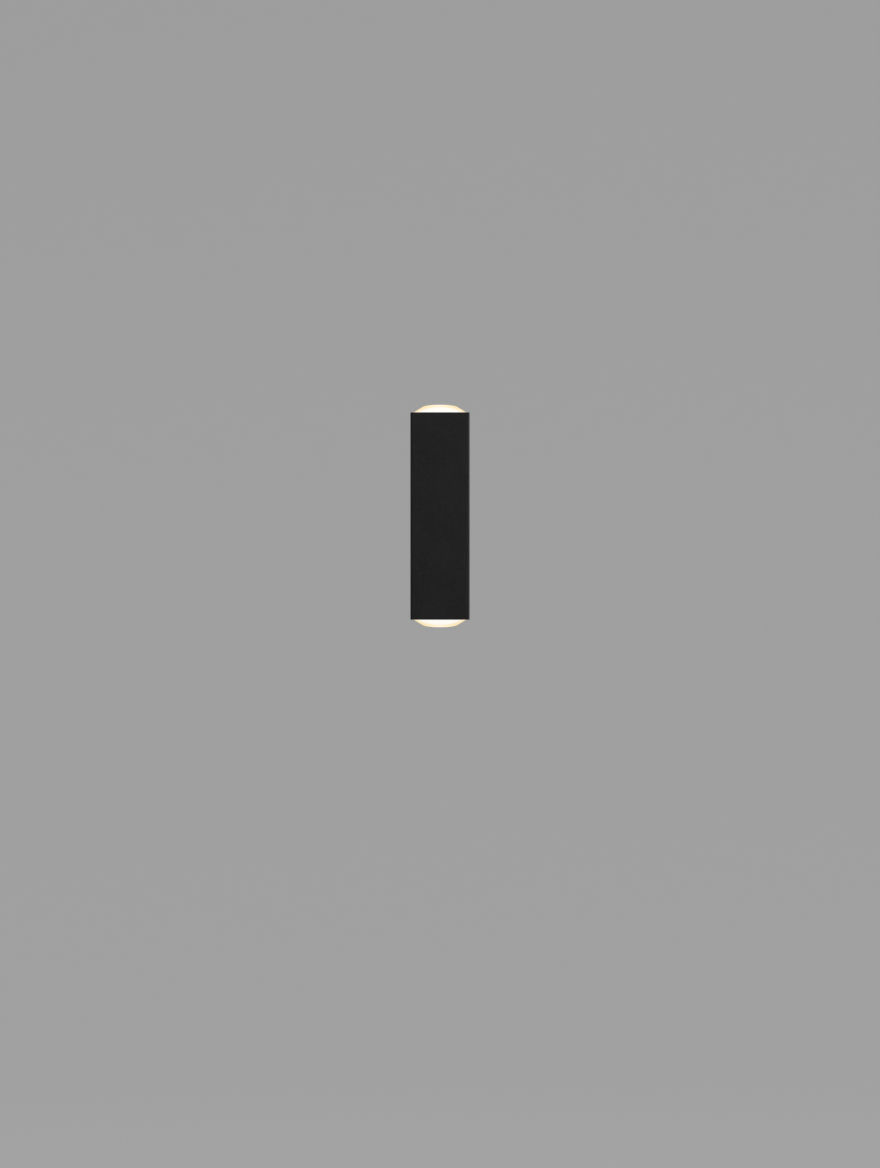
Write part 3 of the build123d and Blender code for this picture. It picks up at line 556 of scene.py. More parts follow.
coat = powder_coat()
glow = lens_glow()
gasket_skin = rubber("rubber_black", rgb(0.0085, 0.0085, 0.0088))
seal_skin = rubber("silicone_clear", rgb(0.42, 0.42, 0.41))
pad_skin = rubber("thermal_pad_grey", rgb(0.30, 0.31, 0.33))
black_steel = plated_steel("steel_black", rgb(0.012, 0.012, 0.013), rgb(0.030, 0.030, 0.031), 0.38)
zinc = plated_steel("steel_zinc", rgb(0.46, 0.47, 0.48), rgb(0.66, 0.67, 0.68), 0.30)
screw_steel = plated_steel("steel_screw", rgb(0.40, 0.40, 0.41), rgb(0.58, 0.58, 0.59), 0.24)
lock_steel = socket_steel()
tinned = plated_steel("copper_tinned", rgb(0.55, 0.55, 0.54), rgb(0.72, 0.72, 0.70), 0.28)
cast = cast_aluminium()
sheet = sheet_aluminium()
driver_shell = moulded_plastic("driver_white", rgb(0.62, 0.62, 0.60), rgb(0.72, 0.72, 0.70), 0.42)
nylon = moulded_plastic("nylon_natural", rgb(0.66, 0.66, 0.61), rgb(0.78, 0.78, 0.73), 0.40)
turned_brass = brass()
board_mask = circuit_board()
phosphor = emitter_glow()
brown = lead_skin("insulation_brown", rgb(0.13, 0.045, 0.018))
blue = lead_skin("insulation_blue", rgb(0.018, 0.085, 0.36))
green = lead_skin("insulation_green", rgb(0.025, 0.22, 0.05), stripe=rgb(0.72, 0.58, 0.03))
red = lead_skin("insulation_red", rgb(0.42, 0.02, 0.018))
white = lead_skin("insulation_white", rgb(0.66, 0.66, 0.64))
black = lead_skin("insulation_black", rgb(0.014, 0.014, 0.015))

# Camera: the photograph's frame, and what the body measures in it in pixels
IMAGE_HEIGHT = 1168
BODY_PIXELS = 59.3
CENTRE_ROW = 516.0
CAMERA_DISTANCE = 3.0
SENSOR = 36.0


def place_camera():
    """Level with the middle of the light, which stands above the middle of the photograph.

    Lens length = sensor x (body's share of the frame's height) x distance / body's width.
    """
    data = bpy.data.cameras.new("camera")
    data.sensor_width = SENSOR
    body_share = BODY_PIXELS / IMAGE_HEIGHT
    data.lens = SENSOR * body_share * CAMERA_DISTANCE / (2 * HALF_BODY * MM)
    data.shift_y = (CENTRE_ROW - IMAGE_HEIGHT / 2) / IMAGE_HEIGHT
    camera = linked("camera", data)
    camera.location = (0.0, FRONT_Y * MM - CAMERA_DISTANCE, 0.0)
    camera.rotation_euler = (math.pi / 2, 0.0, 0.0)
    bpy.context.scene.camera = camera


place_camera()

# Leads: radius, slot and finish of each, and the control points of the smooth spline that it follows
LEAD_SIDES = 20
SPLINE_STEPS = 24
NO_LEAD_RUNS_THIS_WAY = np.array([0.70, -0.70, 0.14])
MAINS_RADIUS = 1.0
LED_RADIUS = 0.7
LEADS = {
    "lead_live": (MAINS_RADIUS, "lead_brown", brown),
    "lead_neutral": (MAINS_RADIUS, "lead_blue", blue),
    "lead_earth": (MAINS_RADIUS, "lead_green", green),
    "lead_led_positive": (LED_RADIUS, "lead_red", red),
    "lead_led_link": (LED_RADIUS, "lead_white", white),
    "lead_led_negative": (LED_RADIUS, "lead_black", black),
}
LEAD_ROUTES = {
    "lead_live": [
        (-14.15, -35.5, -33.0), (-14.15, -35.5, -47.0), (-14.15, -18.1, -47.0),
        (-10.0, -18.1, -38.0), (-10.0, -18.1, -28.5),
    ],
    "lead_neutral": [
        (-11.85, -35.5, -33.0), (-11.85, -35.5, -47.0), (-11.85, -18.1, -47.0),
        (0.0, -18.1, -38.0), (0.0, -18.1, -28.5),
    ],
    "lead_earth": [
        (10.0, -18.1, -28.5), (10.0, -18.1, -35.0), (10.0, -20.9, -40.5), (10.0, -20.9, -46.0),
    ],
    "lead_led_positive": [
        (-4.0, -35.5, 33.0), (-4.0, -35.5, 46.0),
        (0.85, -44.15, 64.5), (0.85, -44.15, 81.3), (0.85, -38.5, 81.3),
    ],
    "lead_led_link": [
        (-0.85, -38.5, 81.3), (-0.85, -44.15, 81.3), (-0.85, -44.15, 64.5),
        (-20.25, -35.5, 35.0), (-20.25, -35.5, -35.0),
        (-0.85, -44.15, -64.5), (-0.85, -44.15, -81.3), (-0.85, -38.5, -81.3),
    ],
    "lead_led_negative": [
        (4.0, -35.5, 33.0), (4.0, -35.5, 42.0), (20.25, -35.5, 42.0), (20.25, -35.5, -35.0),
        (0.85, -44.15, -64.5), (0.85, -44.15, -81.3), (0.85, -38.5, -81.3),
    ],
}


def spline_points(name, route):
    """Points along the order-3 NURBS spline whose control points are the route, in metres."""
    data = bpy.data.curves.new(name + "_line", "CURVE")
    data.dimensions = "3D"
    data.resolution_u = SPLINE_STEPS
    spline = data.splines.new("NURBS")
    spline.points.add(len(route) - 1)
    control = np.column_stack([np.array(route) * MM, np.ones(len(route))])
    spline.points.foreach_set("co", control.ravel())
    spline.order_u = 3
    spline.use_endpoint_u = True
    line = bpy.data.objects.new(name + "_line", data)
    mesh = bpy.data.meshes.new_from_object(line)
    points = np.empty(len(mesh.vertices) * 3)
    mesh.vertices.foreach_get("co", points)
    bpy.data.objects.remove(line)
    bpy.data.meshes.remove(mesh)
    return points.reshape(-1, 3)


def insulated_lead(node):
    """A circle carried along the spline, square to it. The stripes are the cosine of twice the turn."""
    radius, slot, skin = LEADS[node]
    path = spline_points(node, LEAD_ROUTES[node])
    along = unit(np.gradient(path, axis=0))
    side = unit(np.cross(along, NO_LEAD_RUNS_THIS_WAY))
    other = np.cross(along, side)
    turn = np.linspace(0.0, 2 * np.pi, LEAD_SIDES, endpoint=False)[:, None]
    ring = np.cos(turn) * side[:, None] + np.sin(turn) * other[:, None]
    points, faces = wrapped(path[:, None] + radius * MM * ring)
    first = np.arange(LEAD_SIDES)
    last = first + (len(path) - 1) * LEAD_SIDES
    mesh = bpy.data.meshes.new(node)
    mesh.from_pydata(points.tolist(), [], [*faces.tolist(), first[::-1].tolist(), last.tolist()])
    stripe = mesh.attributes.new("stripe", "FLOAT", "POINT")
    stripe.data.foreach_set("value", np.tile(np.cos(2 * turn[:, 0]), len(path)))
    with opened(mesh) as shell:
        bmesh.ops.recalc_face_normals(shell, faces=shell.faces)
    standing_for(node, node + "_run", mesh, LIGHT, skin, SHARP_LEAD)


for lead in LEADS:
    insulated_lead(lead)

# Housing: its walls, its rear window, and its screw holes with the patches round them
BODY_WALL = 1.5
BODY_CORNER = 2.0
BODY_EDGE = 0.6
WINDOW_HALF_WIDTH = 20.0
WINDOW_HALF_HEIGHT = 57.0
WINDOW_CORNER = 5.0
LOCK_Y = -10.5
LOCK_HOLE = 3.0
LOCK_PATCH = 5.0
SINK_HOLE = 2.9
SINK_PATCH = 4.5
SINK_HOLE_X = 8.0
SINK_HOLE_Z = 68.5
END_ROW_Z = 80.0

# The sheet's cells across a screw hole's patch, a window corner, a side, the front and a tube corner,
# the rings of a patch, and the slack in telling where a cell lies
PATCH_CELLS = 8
CORNER_CELLS = 4
SIDE_CELLS = 4
FRONT_CELLS = 8
ARC_CELLS = 6
PATCH_RINGS = 4
ON_PLANE = 1e-3

# Where a wall's flat ends, where the window's corners begin, and the sheet's lines beside those corners
FLAT = HALF_BODY - BODY_CORNER
CORNER_X = WINDOW_HALF_WIDTH - WINDOW_CORNER
CORNER_Z = WINDOW_HALF_HEIGHT - WINDOW_CORNER
PATCH_TOP = WINDOW_HALF_HEIGHT + WINDOW_CORNER
SQUARE = np.linspace(-1.0, 1.0, PATCH_CELLS + 1)
CORNER_COLUMNS = np.linspace(CORNER_X, FLAT, CORNER_CELLS + 1)
CORNER_ROWS = np.linspace(CORNER_Z, PATCH_TOP, CORNER_CELLS + 1)


def mirrored_lines(*runs):
    """Places of a grid's lines: runs of them on one side of zero, without repeats, then mirrored."""
    places = np.unique(np.round(np.concatenate(runs), 6))
    return np.concatenate([-places[::-1], places[places > 0]])


def sheet_rows():
    """Heights of rows: at the set screws, the window's sides and corners, the sink screws and rims."""
    return mirrored_lines(
        LOCK_PATCH * SQUARE[PATCH_CELLS // 2 :],
        np.linspace(LOCK_PATCH, CORNER_Z, SIDE_CELLS + 1),
        CORNER_ROWS,
        SINK_HOLE_Z + SINK_PATCH * SQUARE,
        [END_ROW_Z, RIM_Z],
    )


def sheet_columns(rear_x):
    """Columns round the tube's rounded square: four walls, each followed by a quarter arc."""
    rear_y, front_y = BACK_Y - BODY_CORNER, FRONT_Y + BODY_CORNER
    to_front = np.linspace(LOCK_Y - LOCK_PATCH, front_y, SIDE_CELLS + 1)
    side_y = np.concatenate([[rear_y], LOCK_Y - LOCK_PATCH * SQUARE, to_front[1:]])
    front_x = np.linspace(FLAT, -FLAT, FRONT_CELLS + 1)
    arc = np.linspace(0.0, np.pi / 2, ARC_CELLS + 1)[1:-1]
    sine, cosine = BODY_CORNER * np.sin(arc), BODY_CORNER * np.cos(arc)
    runs = [
        (rear_x, BACK_Y),
        (FLAT + sine, rear_y + cosine),
        (HALF_BODY, side_y),
        (FLAT + cosine, front_y - sine),
        (front_x, FRONT_Y),
        (-FLAT - sine, front_y - cosine),
        (-HALF_BODY, side_y[::-1]),
        (-FLAT - cosine, rear_y + sine),
    ]
    return np.concatenate([np.stack(np.broadcast_arrays(x, y), axis=1) for x, y in runs])


def tube_sheet(rows, columns):
    """Rows of height against columns round the tube, less the cells that the patches fill."""
    points = np.empty((len(rows), len(columns), 3))
    points[..., :2] = columns
    points[..., 2] = rows[:, None]
    points, faces = wrapped(points)
    x, y, z = points[faces].mean(axis=1).T
    x, z = np.abs(x), np.abs(z)
    rear = y > BACK_Y - ON_PLANE
    beside = x > HALF_BODY - ON_PLANE
    window = rear & (x < FLAT) & (z < PATCH_TOP)
    lock = beside & (np.abs(y - LOCK_Y) < LOCK_PATCH) & (z < LOCK_PATCH)
    sink = rear & (np.abs(x - SINK_HOLE_X) < SINK_PATCH) & (np.abs(z - SINK_HOLE_Z) < SINK_PATCH)
    return points, faces[~(window | lock | sink)]


def window_patch(rows, rear_x):
    """Blend from a rectangle in to the window's outline, whose corners are quarter circles.

    Each loop is a half and that half turned over, with a point for each line of the sheet that meets it.
    """
    bend = np.linspace(0.0, np.pi / 2, 2 * CORNER_CELLS + 1)[1:-1]
    arc = WINDOW_CORNER * np.stack([np.cos(bend), np.sin(bend)], axis=1) + (CORNER_X, CORNER_Z)
    edge_x = np.concatenate([np.full(CORNER_CELLS, FLAT), CORNER_COLUMNS[-2:0:-1]])
    edge_z = np.concatenate([CORNER_ROWS[1:], np.full(CORNER_CELLS - 1, PATCH_TOP)])
    edge = np.stack([edge_x, edge_z], axis=1)
    side_z = rows[np.abs(rows) <= CORNER_Z + ON_PLANE]
    top_x = rear_x[np.abs(rear_x) <= CORNER_X + ON_PLANE][::-1]
    side = np.stack([np.ones_like(side_z), side_z], axis=1)
    top = np.stack([top_x, np.ones_like(top_x)], axis=1)

    def loop(quarter, half_width, half_height):
        runs = [side * (half_width, 1), quarter, top * (1, half_height), quarter[::-1] * (-1, 1)]
        half = np.concatenate(runs)
        return np.concatenate([half, -half])

    outer = loop(edge, FLAT, PATCH_TOP)
    inner = loop(arc, WINDOW_HALF_WIDTH, WINDOW_HALF_HEIGHT)
    return ring_patch(outer, inner, PATCH_RINGS, TO_WALL * BACK_Y, RIGHT, UP)


def hole_patch(half, radius, origin, across):
    """Square patch with a round hole: each point of the square is drawn in to the circle."""
    t = SQUARE[:-1]
    one = np.ones_like(t)
    sides = [(t, -one), (one, t), (-t, one), (-one, -t)]
    outer = half * np.concatenate([np.stack(side, axis=1) for side in sides])
    inner = unit(outer) * radius
    return ring_patch(outer, inner, PATCH_RINGS, origin, across, UP)


def tube_housing():
    """The sheet round the tube with the patches of its window and its screw holes."""
    rows = sheet_rows()
    rear_x = mirrored_lines([0.0], SINK_HOLE_X + SINK_PATCH * SQUARE, CORNER_COLUMNS)
    forms = [tube_sheet(rows, sheet_columns(rear_x)), window_patch(rows, rear_x)]
    for side in SIGNS:
        forms.append(hole_patch(LOCK_PATCH, LOCK_HOLE, (side * HALF_BODY, LOCK_Y, 0.0), TO_WALL))
        for end in SIGNS:
            place = (side * SINK_HOLE_X, BACK_Y, end * SINK_HOLE_Z)
            forms.append(hole_patch(SINK_PATCH, SINK_HOLE, place, RIGHT))
    return joined(*forms)


housing = piece("housing_tube", "housing", tube_housing(), LIGHT, coat, "powder_coat")
wall = housing.modifiers.new("wall", "SOLIDIFY")
wall.thickness = BODY_WALL * MM
wall.offset = -1.0
wall.use_even_offset = True
eased(housing, BODY_EDGE, limit_degrees=60.0)

# Lens: its ledge, skirt, seal groove, hollow and LED cup
LENS_HALF = 23.3
LENS_CORNER = 1.2
LENS_LAND = 0.1
LENS_BLEND = 0.12
SKIRT_DEPTH = 9.0
GROOVE_DEPTH = 1.5
GROOVE_TOP = 2.4
GROOVE_FOOT = 4.6
HOLLOW_HALF = 20.3
HOLLOW_DEPTH = 5.0
CUP_RADIUS = 6.0
CUP_NECK = 4.6
CUP_HEIGHT = 4.0
CUP_DOME = 1.4

# The lens's rings: how far off the crown's edge those of the flank end, those of the edge reach and
# those of the crown start, as shares of its half width, and how many there are
FLANK_END = 0.07
EDGE_BAND = 0.055
CROWN_START = 0.075
FLANK_RINGS = 14
EDGE_RINGS = 14
CROWN_RING_COUNT = 16
CUP_RINGS = 7


def soft_least(first, second, blend):
    """The smaller of two heights, with a smooth turn of about the blend's size where they meet."""
    return (first + second - np.sqrt((first - second) ** 2 + 4 * blend**2)) / 2


def lens_outline(across):
    """Height over the ledge at a distance from the middle: the lower of a flank and the crown's arc.

    The flank rises straight from the base's edge to the crown's. The arc is highest over the middle and
    passes through the crown's edge.
    """
    across = np.abs(across)
    slope = FLANK_RISE / (LENS_BASE - CROWN_HALF)
    radius = (CROWN_HALF**2 + CROWN_RISE**2) / (2 * CROWN_RISE)
    arc = FLANK_RISE + CROWN_RISE - radius + np.sqrt(radius**2 - across**2)
    return soft_least(slope * (LENS_BASE - across), arc, LENS_BLEND)


def lens_form(end):
    """Rings of its LED cup, hollow, skirt and seal groove, then of its top, shrunk from edge to middle.

    Height over the ledge is the softened least of the outline across and the outline front to back, and
    never below the ledge. The softening along the hips grows with the distance from the middle.
    """
    loop = rounded_loop(LENS_HALF, LENS_HALF, LENS_CORNER, arc_steps=8, side_steps=14)
    circle = unit(loop)
    edge = CROWN_HALF / LENS_HALF
    flank = np.linspace(LENS_BASE / LENS_HALF, edge + FLANK_END, FLANK_RINGS)
    band = np.linspace(edge + EDGE_BAND, edge - EDGE_BAND, EDGE_RINGS)
    crown = np.linspace(edge - CROWN_START, 0.0, CROWN_RING_COUNT)
    share = np.concatenate([[1.0], flank, band, crown])
    plan = share[:, None, None] * loop
    blend = LENS_BLEND * np.minimum(np.abs(plan).max(axis=-1) / CROWN_HALF, 1.0)
    height = soft_least(lens_outline(plan[..., 0]), lens_outline(plan[..., 1]), blend)
    height = np.maximum(height, 0.0)
    top = np.concatenate([plan, (RIM_Z + LENS_LAND + height)[..., None]], axis=-1)

    groove = loop * (1 - GROOVE_DEPTH / LENS_HALF)
    hollow = loop * (HOLLOW_HALF / LENS_HALF)
    foot = RIM_Z - SKIRT_DEPTH
    roof = foot + HOLLOW_DEPTH
    bulge = np.linspace(0.0, 1.0, CUP_RINGS)
    rows = [(circle * CUP_NECK * t, roof + CUP_HEIGHT + CUP_DOME * (1 - t**2)) for t in bulge]
    rows += [(circle * CUP_RADIUS, roof), (hollow, roof), (hollow, foot), (loop, foot)]
    rows += [(loop, RIM_Z - GROOVE_FOOT), (groove, RIM_Z - GROOVE_FOOT)]
    rows += [(groove, RIM_Z - GROOVE_TOP), (loop, RIM_Z - GROOVE_TOP), (loop, RIM_Z)]
    return wrapped(np.concatenate([stacked(rows), top]) * (1, 1, end) + AXIS)


for place, end in ENDS.items():
    lens = "lens_" + place
    piece(lens + "_lit", lens, lens_form(end), LIGHT, glow, "lens_acrylic", SHARP_TURNED)

# Gasket behind the tube: half width, half height and corner radius of its two outlines
GASKET_OUTER = (24.4, 86.9, 2.0)
GASKET_INNER = (20.6, 57.6, 5.0)
GASKET_THICKNESS = 1.5
GASKET_EDGE = 0.3


def gasket_form():
    """A box profile carried round: two outlines, outer and inner, at the wall and at the tube."""
    outer = rounded_loop(*GASKET_OUTER, arc_steps=8, side_steps=6)
    inner = rounded_loop(*GASKET_INNER, arc_steps=8, side_steps=6)
    plan = np.stack([outer, outer, inner, inner])
    depth = np.array([0.0, -GASKET_THICKNESS, -GASKET_THICKNESS, 0.0])[:, None]
    y = np.broadcast_to(depth, plan.shape[:2])
    return wrapped(np.stack([plan[..., 0], y, plan[..., 1]], axis=-1), closed=True)


gasket = piece("gasket_frame", "wall_gasket", gasket_form(), LIGHT, gasket_skin, "gasket_rubber")
eased(gasket, GASKET_EDGE)

# Grommets: profiles of radius and depth
CABLE_GROMMET = [
    (3.7, 0.0), (5.5, 0.0), (5.5, 1.5), (7.5, 1.5), (7.5, 3.0), (5.0, 3.0), (5.0, 5.0), (3.7, 5.0),
]
TRAY_GROMMET = [
    (2.6, -1.2), (5.4, -1.2), (5.4, 0.0), (4.0, 0.0), (4.0, 1.2), (5.4, 1.2), (5.4, 2.4), (2.6, 2.4),
]
CABLE_ENTRY = (0.0, 0.0, 0.0)
TRAY_ENTRY = (-13.0, TRAY_FRONT_Y, -47.0)
CABLE_GROMMET_EDGE = 0.45
TRAY_GROMMET_EDGE = 0.4


def turned_ring(profile, edge, place, axis):
    """A closed profile with its corners rounded, turned about its bore."""
    return turned(rounded_profile(profile, edge), place, axis, closed=True)


cable_form = turned_ring(CABLE_GROMMET, CABLE_GROMMET_EDGE, CABLE_ENTRY, -TO_WALL)
tray_form = turned_ring(TRAY_GROMMET, TRAY_GROMMET_EDGE, TRAY_ENTRY, TO_WALL)
piece("cable_grommet_moulded", "cable_grommet", cable_form, BRACKET, gasket_skin, "gasket_rubber")
piece("tray_grommet_moulded", "tray_grommet", tray_form, LIGHT, gasket_skin, "gasket_rubber")

# Locking screws with hexagon sockets, and the clinch nuts that hold them
LOCK_SCREW_END_X = 24.5
HEXAGON_HALF = 1.0


def lock_screw(side):
    """Hexagon socket floor, socket wall, chamfered end, thread, shoulder, dog and its chamfer."""
    socket = hexagon(HEXAGON_HALF)
    rows = [
        (0.0, -2.9), (socket, -2.5), (socket, -0.15), (1.28, 0.0), (1.72, 0.0), (2.0, -0.28),
        (2.0, -5.1), (1.85, -5.3), (1.25, -5.3), (1.25, -7.2), (0.95, -7.5), (0.0, -7.5),
    ]
    return turned(rows, (side * LOCK_SCREW_END_X, LOCK_Y, 0.0), side * RIGHT)


def clinch_nut(side):
    """Bore with a countersink, collar flush with the tube, wider body behind the wall."""
    rows = [
        (2.05, -5.5), (2.05, -0.35), (2.35, 0.0), (2.85, 0.0), (3.0, -0.15),
        (3.0, -1.5), (3.75, -1.5), (4.0, -1.75), (4.0, -5.25), (3.75, -5.5),
    ]
    return turned(rows, (side * HALF_BODY, LOCK_Y, 0.0), side * RIGHT, closed=True)


def fasteners(node, suffix, forms, body, material, slot):
    """Like pieces of one node, as one object of separate shells."""
    piece(f"{node}_{suffix}", node, joined(*forms), body, material, slot, SHARP_TURNED)


fasteners("lock_screws", "turned", [lock_screw(1), lock_screw(-1)], LIGHT, lock_steel, "black_steel")
fasteners("clinch_nuts", "turned", [clinch_nut(1), clinch_nut(-1)], LIGHT, black_steel, "black_steel")

# Screws: a cross recess's reach and its arms' half width as shares of the head, the floor's shares of
# those, and the tips' tapers
RECESS_REACH = 0.62
RECESS_ARM = 0.17
FLOOR_REACH = 0.55
FLOOR_ARM = 0.6
SCREW_TIP = 0.4
SLOTTED_TIP = 0.3

# A slotted head's top: the shares of its radius that are flat and that fall off, how far they fall as a
# share of its height, and how near to upright they end
HEAD_FLAT = 0.8
HEAD_EDGE = 0.2
HEAD_FALL = 0.22
NEARLY_UPRIGHT = 0.999
LAND_STEPS = 10
CHORD_STEPS = 15


def recess(head):
    """Outlines of a cross recess at its floor and at its mouth."""
    reach, arm = RECESS_REACH * head, RECESS_ARM * head
    return cross_recess(arm * FLOOR_ARM, reach * FLOOR_REACH), cross_recess(arm, reach)


def tip_rows(shank, length, tip):
    """End of a shank, tapered to its tip."""
    return [(shank, -length + tip), (shank - tip, -length), (0.0, -length)]


def pan_screw(place, axis, shank, head, height, length):
    """Pan head with a cross recess: recess floor and wall, domed top, rounded side, shank and tip."""
    floor, mouth = recess(head)
    rows = [
        (0.0, height * 0.25),
        (floor, height * 0.32),
        (mouth, height * 0.94),
        (0.72 * head, height * 0.97),
        (0.86 * head, height * 0.86),
        (0.95 * head, height * 0.66),
        (head, height * 0.38),
        (head, 0.0),
        (shank, 0.0),
        *tip_rows(shank, length, SCREW_TIP),
    ]
    return turned(rows, place, axis)


def countersunk_screw(place, axis, shank, head, length):
    """Flat head with a cross recess: recess floor and wall, flat top, cone, shank and tip."""
    floor, mouth = recess(head)
    cone = head - shank
    rows = [
        (0.0, -cone),
        (floor, -0.9 * cone),
        (mouth, -0.04),
        (0.74 * head, 0.0),
        (0.97 * head, 0.0),
        (head, -0.08),
        (shank, -cone),
        *tip_rows(shank, length, SCREW_TIP),
    ]
    return turned(rows, place, axis)


def slotted_screw(place, axis, shank, head, height, length, slot_half, slot_depth):
    """Sections across the slot: each is a box as long as the head's chord there, lower inside the slot.

    The chord's half length is the root of head squared less across squared, and the top falls off
    towards the head's edge by a quarter of a turn.
    """
    across, up = cross_axes(axis)
    bend = np.linspace(0.0, np.pi / 2, LAND_STEPS)
    land = slot_half + (head - slot_half) * np.sin(bend)
    v = np.concatenate([-land[::-1], [-slot_half, slot_half], land])
    inside = np.zeros(len(v), dtype=bool)
    inside[len(land) : len(land) + 2] = True
    chord = np.sqrt(np.maximum(head**2 - v**2, 0.0))
    t = np.sin(np.linspace(-1.0, 1.0, CHORD_STEPS) * np.pi / 2)
    u = chord[:, None] * t
    edge = np.clip((np.hypot(u, v[:, None]) / head - HEAD_FLAT) / HEAD_EDGE, 0.0, 1.0)
    top = height - HEAD_FALL * height * (1 - np.sqrt(1 - NEARLY_UPRIGHT * edge**2))
    top = np.where(inside[:, None], height - slot_depth, top)
    section_u = np.concatenate([u, u[:, ::-1]], axis=1)[..., None]
    section_h = np.concatenate([top, np.zeros_like(top)], axis=1)[..., None]
    head_form = wrapped(place + section_u * across + v[:, None, None] * up + section_h * axis)
    rows = [(0.0, 0.0), (shank, 0.0), *tip_rows(shank, length, SLOTTED_TIP)]
    return joined(head_form, turned(rows, place, axis))


def both(offset, middle=0.0):
    """Two places, one on each side of a middle."""
    return (middle - offset, middle + offset)


def facing(way, place):
    """A way along the light turns over at its bottom end. One square to the wall stays."""
    return way * np.sign(place[2]) if way[2] else way


# Screws of each node: body, finish and slot, form, sizes, the way they face, and their places across,
# front to back and along the light. Sizes are the radii of shank and head, the height of a head that
# stands up, the length below it, and half the width and the depth of a slot.
STEEL = (LIGHT, screw_steel, "steel_screw")
EARTH = (LIGHT, turned_brass, "brass")
WALL_EARTH = (BRACKET, turned_brass, "brass")
WASHER_X, WASHER_Z = 9.0, -19.0
WASHER_THICKNESS = 0.8
WASHER_EDGE = 0.2
WASHER = [(2.2, 0.0), (4.4, 0.0), (4.4, WASHER_THICKNESS), (2.2, WASHER_THICKNESS)]
FINE = (1.25, 2.25, 1.4)
STOUT = (1.5, 2.75, 2.0)
SINK_HOLES = [both(SINK_HOLE_X), [BACK_Y], both(SINK_HOLE_Z)]
TERMINALS = [(-10.0, 0.0, 10.0), [-12.8], both(5.0, -22.0)]
ON_WASHER = [[WASHER_X], [BRACKET_FRONT_Y - WASHER_THICKNESS], [WASHER_Z]]
SCREWS = {
    "tray_screws": (STEEL, pan_screw, (*STOUT, 7.2), TO_WALL, both(17.5), [TRAY_REAR_Y], both(67.5)),
    "driver_screws": (STEEL, pan_screw, (*STOUT, 4.7), -TO_WALL, [0.0], [-26.2], both(34.5)),
    "terminal_block_screws": (STEEL, pan_screw, (*FINE, 5.0), TO_WALL, both(5.0), [-18.5], [-22.0]),
    "led_board_screws": (STEEL, pan_screw, (*FINE, 5.6), UP, both(11.6), [AXIS_Y], both(BOARD_TOP_Z)),
    "lens_screws": (STEEL, pan_screw, (*FINE, 9.5), -UP, both(16.3), both(16.3, AXIS_Y), both(74.5)),
    "heat_sink_screws": (STEEL, countersunk_screw, (1.5, 2.7, 6.0), TO_WALL, *SINK_HOLES),
    "terminal_screws": (STEEL, slotted_screw, (1.2, 1.9, 1.6, 4.1, 0.4, 0.8), TO_WALL, *TERMINALS),
    "earth_screw": (EARTH, slotted_screw, (*STOUT, 3.6, 0.45, 0.8), TO_WALL, [10.0], [-21.7], [-52.0]),
    "bracket_earth_screw": (
        WALL_EARTH, slotted_screw, (2.0, 3.6, 2.4, 2.3, 0.5, 1.0), -TO_WALL, *ON_WASHER,
    ),
}

for node, (made_of, form, sizes, way, *places) in SCREWS.items():
    forms = [form(place, facing(way, place), *sizes) for place in product(*places)]
    fasteners(node, "slotted" if form is slotted_screw else "cross", forms, *made_of)
washer_form = turned_ring(WASHER, WASHER_EDGE, (WASHER_X, BRACKET_FRONT_Y, WASHER_Z), -TO_WALL)
piece("bracket_earth_washer_turned", "bracket_earth_washer", washer_form, *WALL_EARTH)

# LED emitters on their boards
EMITTER_HALF = 1.75
EMITTER_CORNER = 0.3
EMITTER_HEIGHT = 0.7
EMITTER_EDGE = 0.12
DOME_RADIUS = 1.5
DOME_RINGS = 9


def emitter_form(end):
    """Rings from the middle of a square base up its sides, in to the dome's foot and over the dome.

    The dome's rings shrink with the cosine of the climb and rise with its sine.
    """
    loop = rounded_loop(EMITTER_HALF, EMITTER_HALF, EMITTER_CORNER, arc_steps=4, side_steps=6)
    circle = unit(loop) * DOME_RADIUS
    climb = np.linspace(0.0, np.pi / 2, DOME_RINGS)
    rings = [(0 * loop, 0.0), (loop, 0.0), (loop, EMITTER_HEIGHT - EMITTER_EDGE)]
    rings += [(loop * (1 - EMITTER_EDGE / EMITTER_HALF), EMITTER_HEIGHT)]
    rings += [(circle * np.cos(t), EMITTER_HEIGHT + DOME_RADIUS * np.sin(t)) for t in climb]
    return wrapped((stacked(rings) + BOARD_TOP_Z * UP) * (1, 1, end) + AXIS)


for place, end in ENDS.items():
    emitter = "led_emitter_" + place
    piece(emitter + "_domed", emitter, emitter_form(end), LIGHT, phosphor, "emitter", SHARP_TURNED)

# CAD forms with their edges rounded: the edge's width, the body, the finish and the slot of each
EASED = {
    "wall_bracket": (0.25, BRACKET, zinc, "zinc_steel"),
    "gear_tray": (0.2, LIGHT, sheet, "sheet_aluminium"),
    "led_driver": (0.25, LIGHT, driver_shell, "driver_plastic"),
    "terminal_block": (0.2, LIGHT, nylon, "terminal_nylon"),
    "heat_sink_top": (0.3, LIGHT, cast, "cast_aluminium"),
    "heat_sink_bottom": (0.3, LIGHT, cast, "cast_aluminium"),
}
for place in ENDS:
    EASED["lens_seal_" + place] = (0.4, LIGHT, seal_skin, "silicone")
    EASED["led_board_" + place] = (0.12, LIGHT, board_mask, "board_white")
    EASED["thermal_pad_" + place] = (0.1, LIGHT, pad_skin, "thermal_pad")
for node, row in EASED.items():
    eased_copy(node, *row)

# CAD nodes that keep their own meshes and take a finish
for node, finish in {"terminal_barrels": turned_brass, "earth_lug": tinned}.items():
    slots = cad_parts[node].data.materials
    slots.clear()
    slots.append(finish)

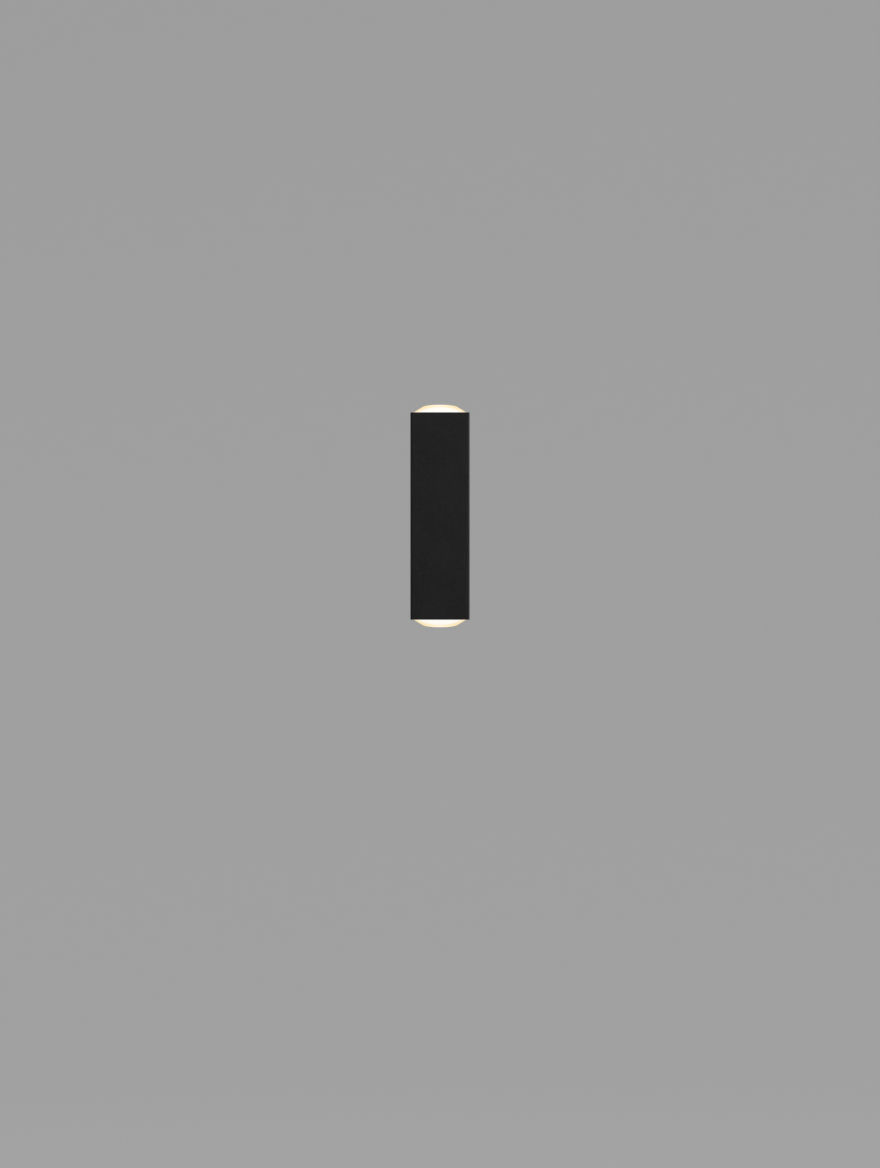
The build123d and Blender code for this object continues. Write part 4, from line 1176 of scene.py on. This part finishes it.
# Stage: a round pale floor that sweeps up into a backdrop on all sides
FLOOR_Z = -0.9
FLOOR_RING = 1.2
SWEEP_START = 2.6
SWEEP_RADIUS = 1.6
BACKDROP_TOP = 3.2
SWEEP_RINGS = 17
SWEEP_SIDES = 96
STAGE_TONE = 0.33
EVEN_SHARE = 0.90


def sweep_form():
    """A profile turned about the middle: flat floor, quarter circle, upright wall."""
    bend = np.linspace(0.0, np.pi / 2, SWEEP_RINGS)
    backdrop = SWEEP_START + SWEEP_RADIUS
    radius = np.concatenate([[0.0, FLOOR_RING], SWEEP_START + SWEEP_RADIUS * np.sin(bend), [backdrop]])
    height = np.concatenate([[0.0, 0.0], SWEEP_RADIUS * (1 - np.cos(bend)), [BACKDROP_TOP]]) + FLOOR_Z
    turn = np.linspace(0.0, 2 * np.pi, SWEEP_SIDES, endpoint=False)
    x = radius[:, None] * np.cos(turn)
    y = radius[:, None] * np.sin(turn)
    z = np.broadcast_to(height[:, None], x.shape)
    return wrapped(np.stack([x, y, z], axis=-1))


def studio_paper():
    """Matt paper that the camera and mirror-like pieces see mostly at one even tone."""
    paper = Finish("studio_paper", Roughness=0.9, Specular_IOR_Level=0.1)
    tooth = paper.noise(30.0, detail=3.0)
    paper.shade(paper.mix(tooth, grey(0.40), grey(0.43)))
    seen_path = paper.node("LightPath", None, None, "Is Camera Ray")
    mirror_path = paper.node("LightPath", None, None, "Is Glossy Ray")
    even = paper.node("Emission", None, {"Color": grey(STAGE_TONE)})
    lit = Value(paper, paper.shader.outputs[0])
    share = seen_path.math("MAXIMUM", mirror_path) * EVEN_SHARE
    seen = paper.node("MixShader", None, {0: share, 1: lit, 2: even})
    paper.feed(paper.tree.nodes["Material Output"], "Surface", seen)
    return paper.material


def make_stage():
    """The sweep in its paper, which is no part of the light."""
    points, faces = sweep_form()
    mesh = bpy.data.meshes.new("studio_sweep")
    mesh.from_pydata(points.tolist(), [], faces.tolist())
    with opened(mesh) as shell:
        bmesh.ops.remove_doubles(shell, verts=shell.verts, dist=WELD)
    mesh.shade_smooth()
    mesh.materials.append(studio_paper())
    linked("studio_sweep", mesh)


make_stage()

# Light: soft lamps turned to the light's middle, each with its place, width, height and power in watts
LAMPS = {
    "key_right": ((1.9, -1.6, 2.4), 1.5, 1.5, 150.0),
    "side_right": ((2.8, -1.1, 0.4), 1.2, 1.6, 60.0),
    "fill_left": ((-1.3, -2.1, 2.3), 1.5, 1.5, 45.0),
    "back_left": ((-1.3, 1.7, 2.4), 1.5, 1.5, 75.0),
    "back_right": ((1.5, 1.7, 2.4), 1.5, 1.5, 60.0),
}
WORLD_LEVEL = 0.34

for name, (place, width, height, watts) in LAMPS.items():
    data = bpy.data.lights.new(name, "AREA")
    data.shape = "RECTANGLE"
    data.size, data.size_y = width, height
    data.energy = watts
    lamp = linked(name, data)
    lamp.location = place
    lamp.rotation_euler = (-Vector(place)).to_track_quat("-Z", "Y").to_euler()

world = bpy.data.worlds.new("studio")
bpy.context.scene.world = world
world.use_nodes = True
background = world.node_tree.nodes["Background"]
background.inputs["Color"].default_value = grey(1.0)
background.inputs["Strength"].default_value = WORLD_LEVEL

bpy.context.scene.view_settings.view_transform = "Standard"
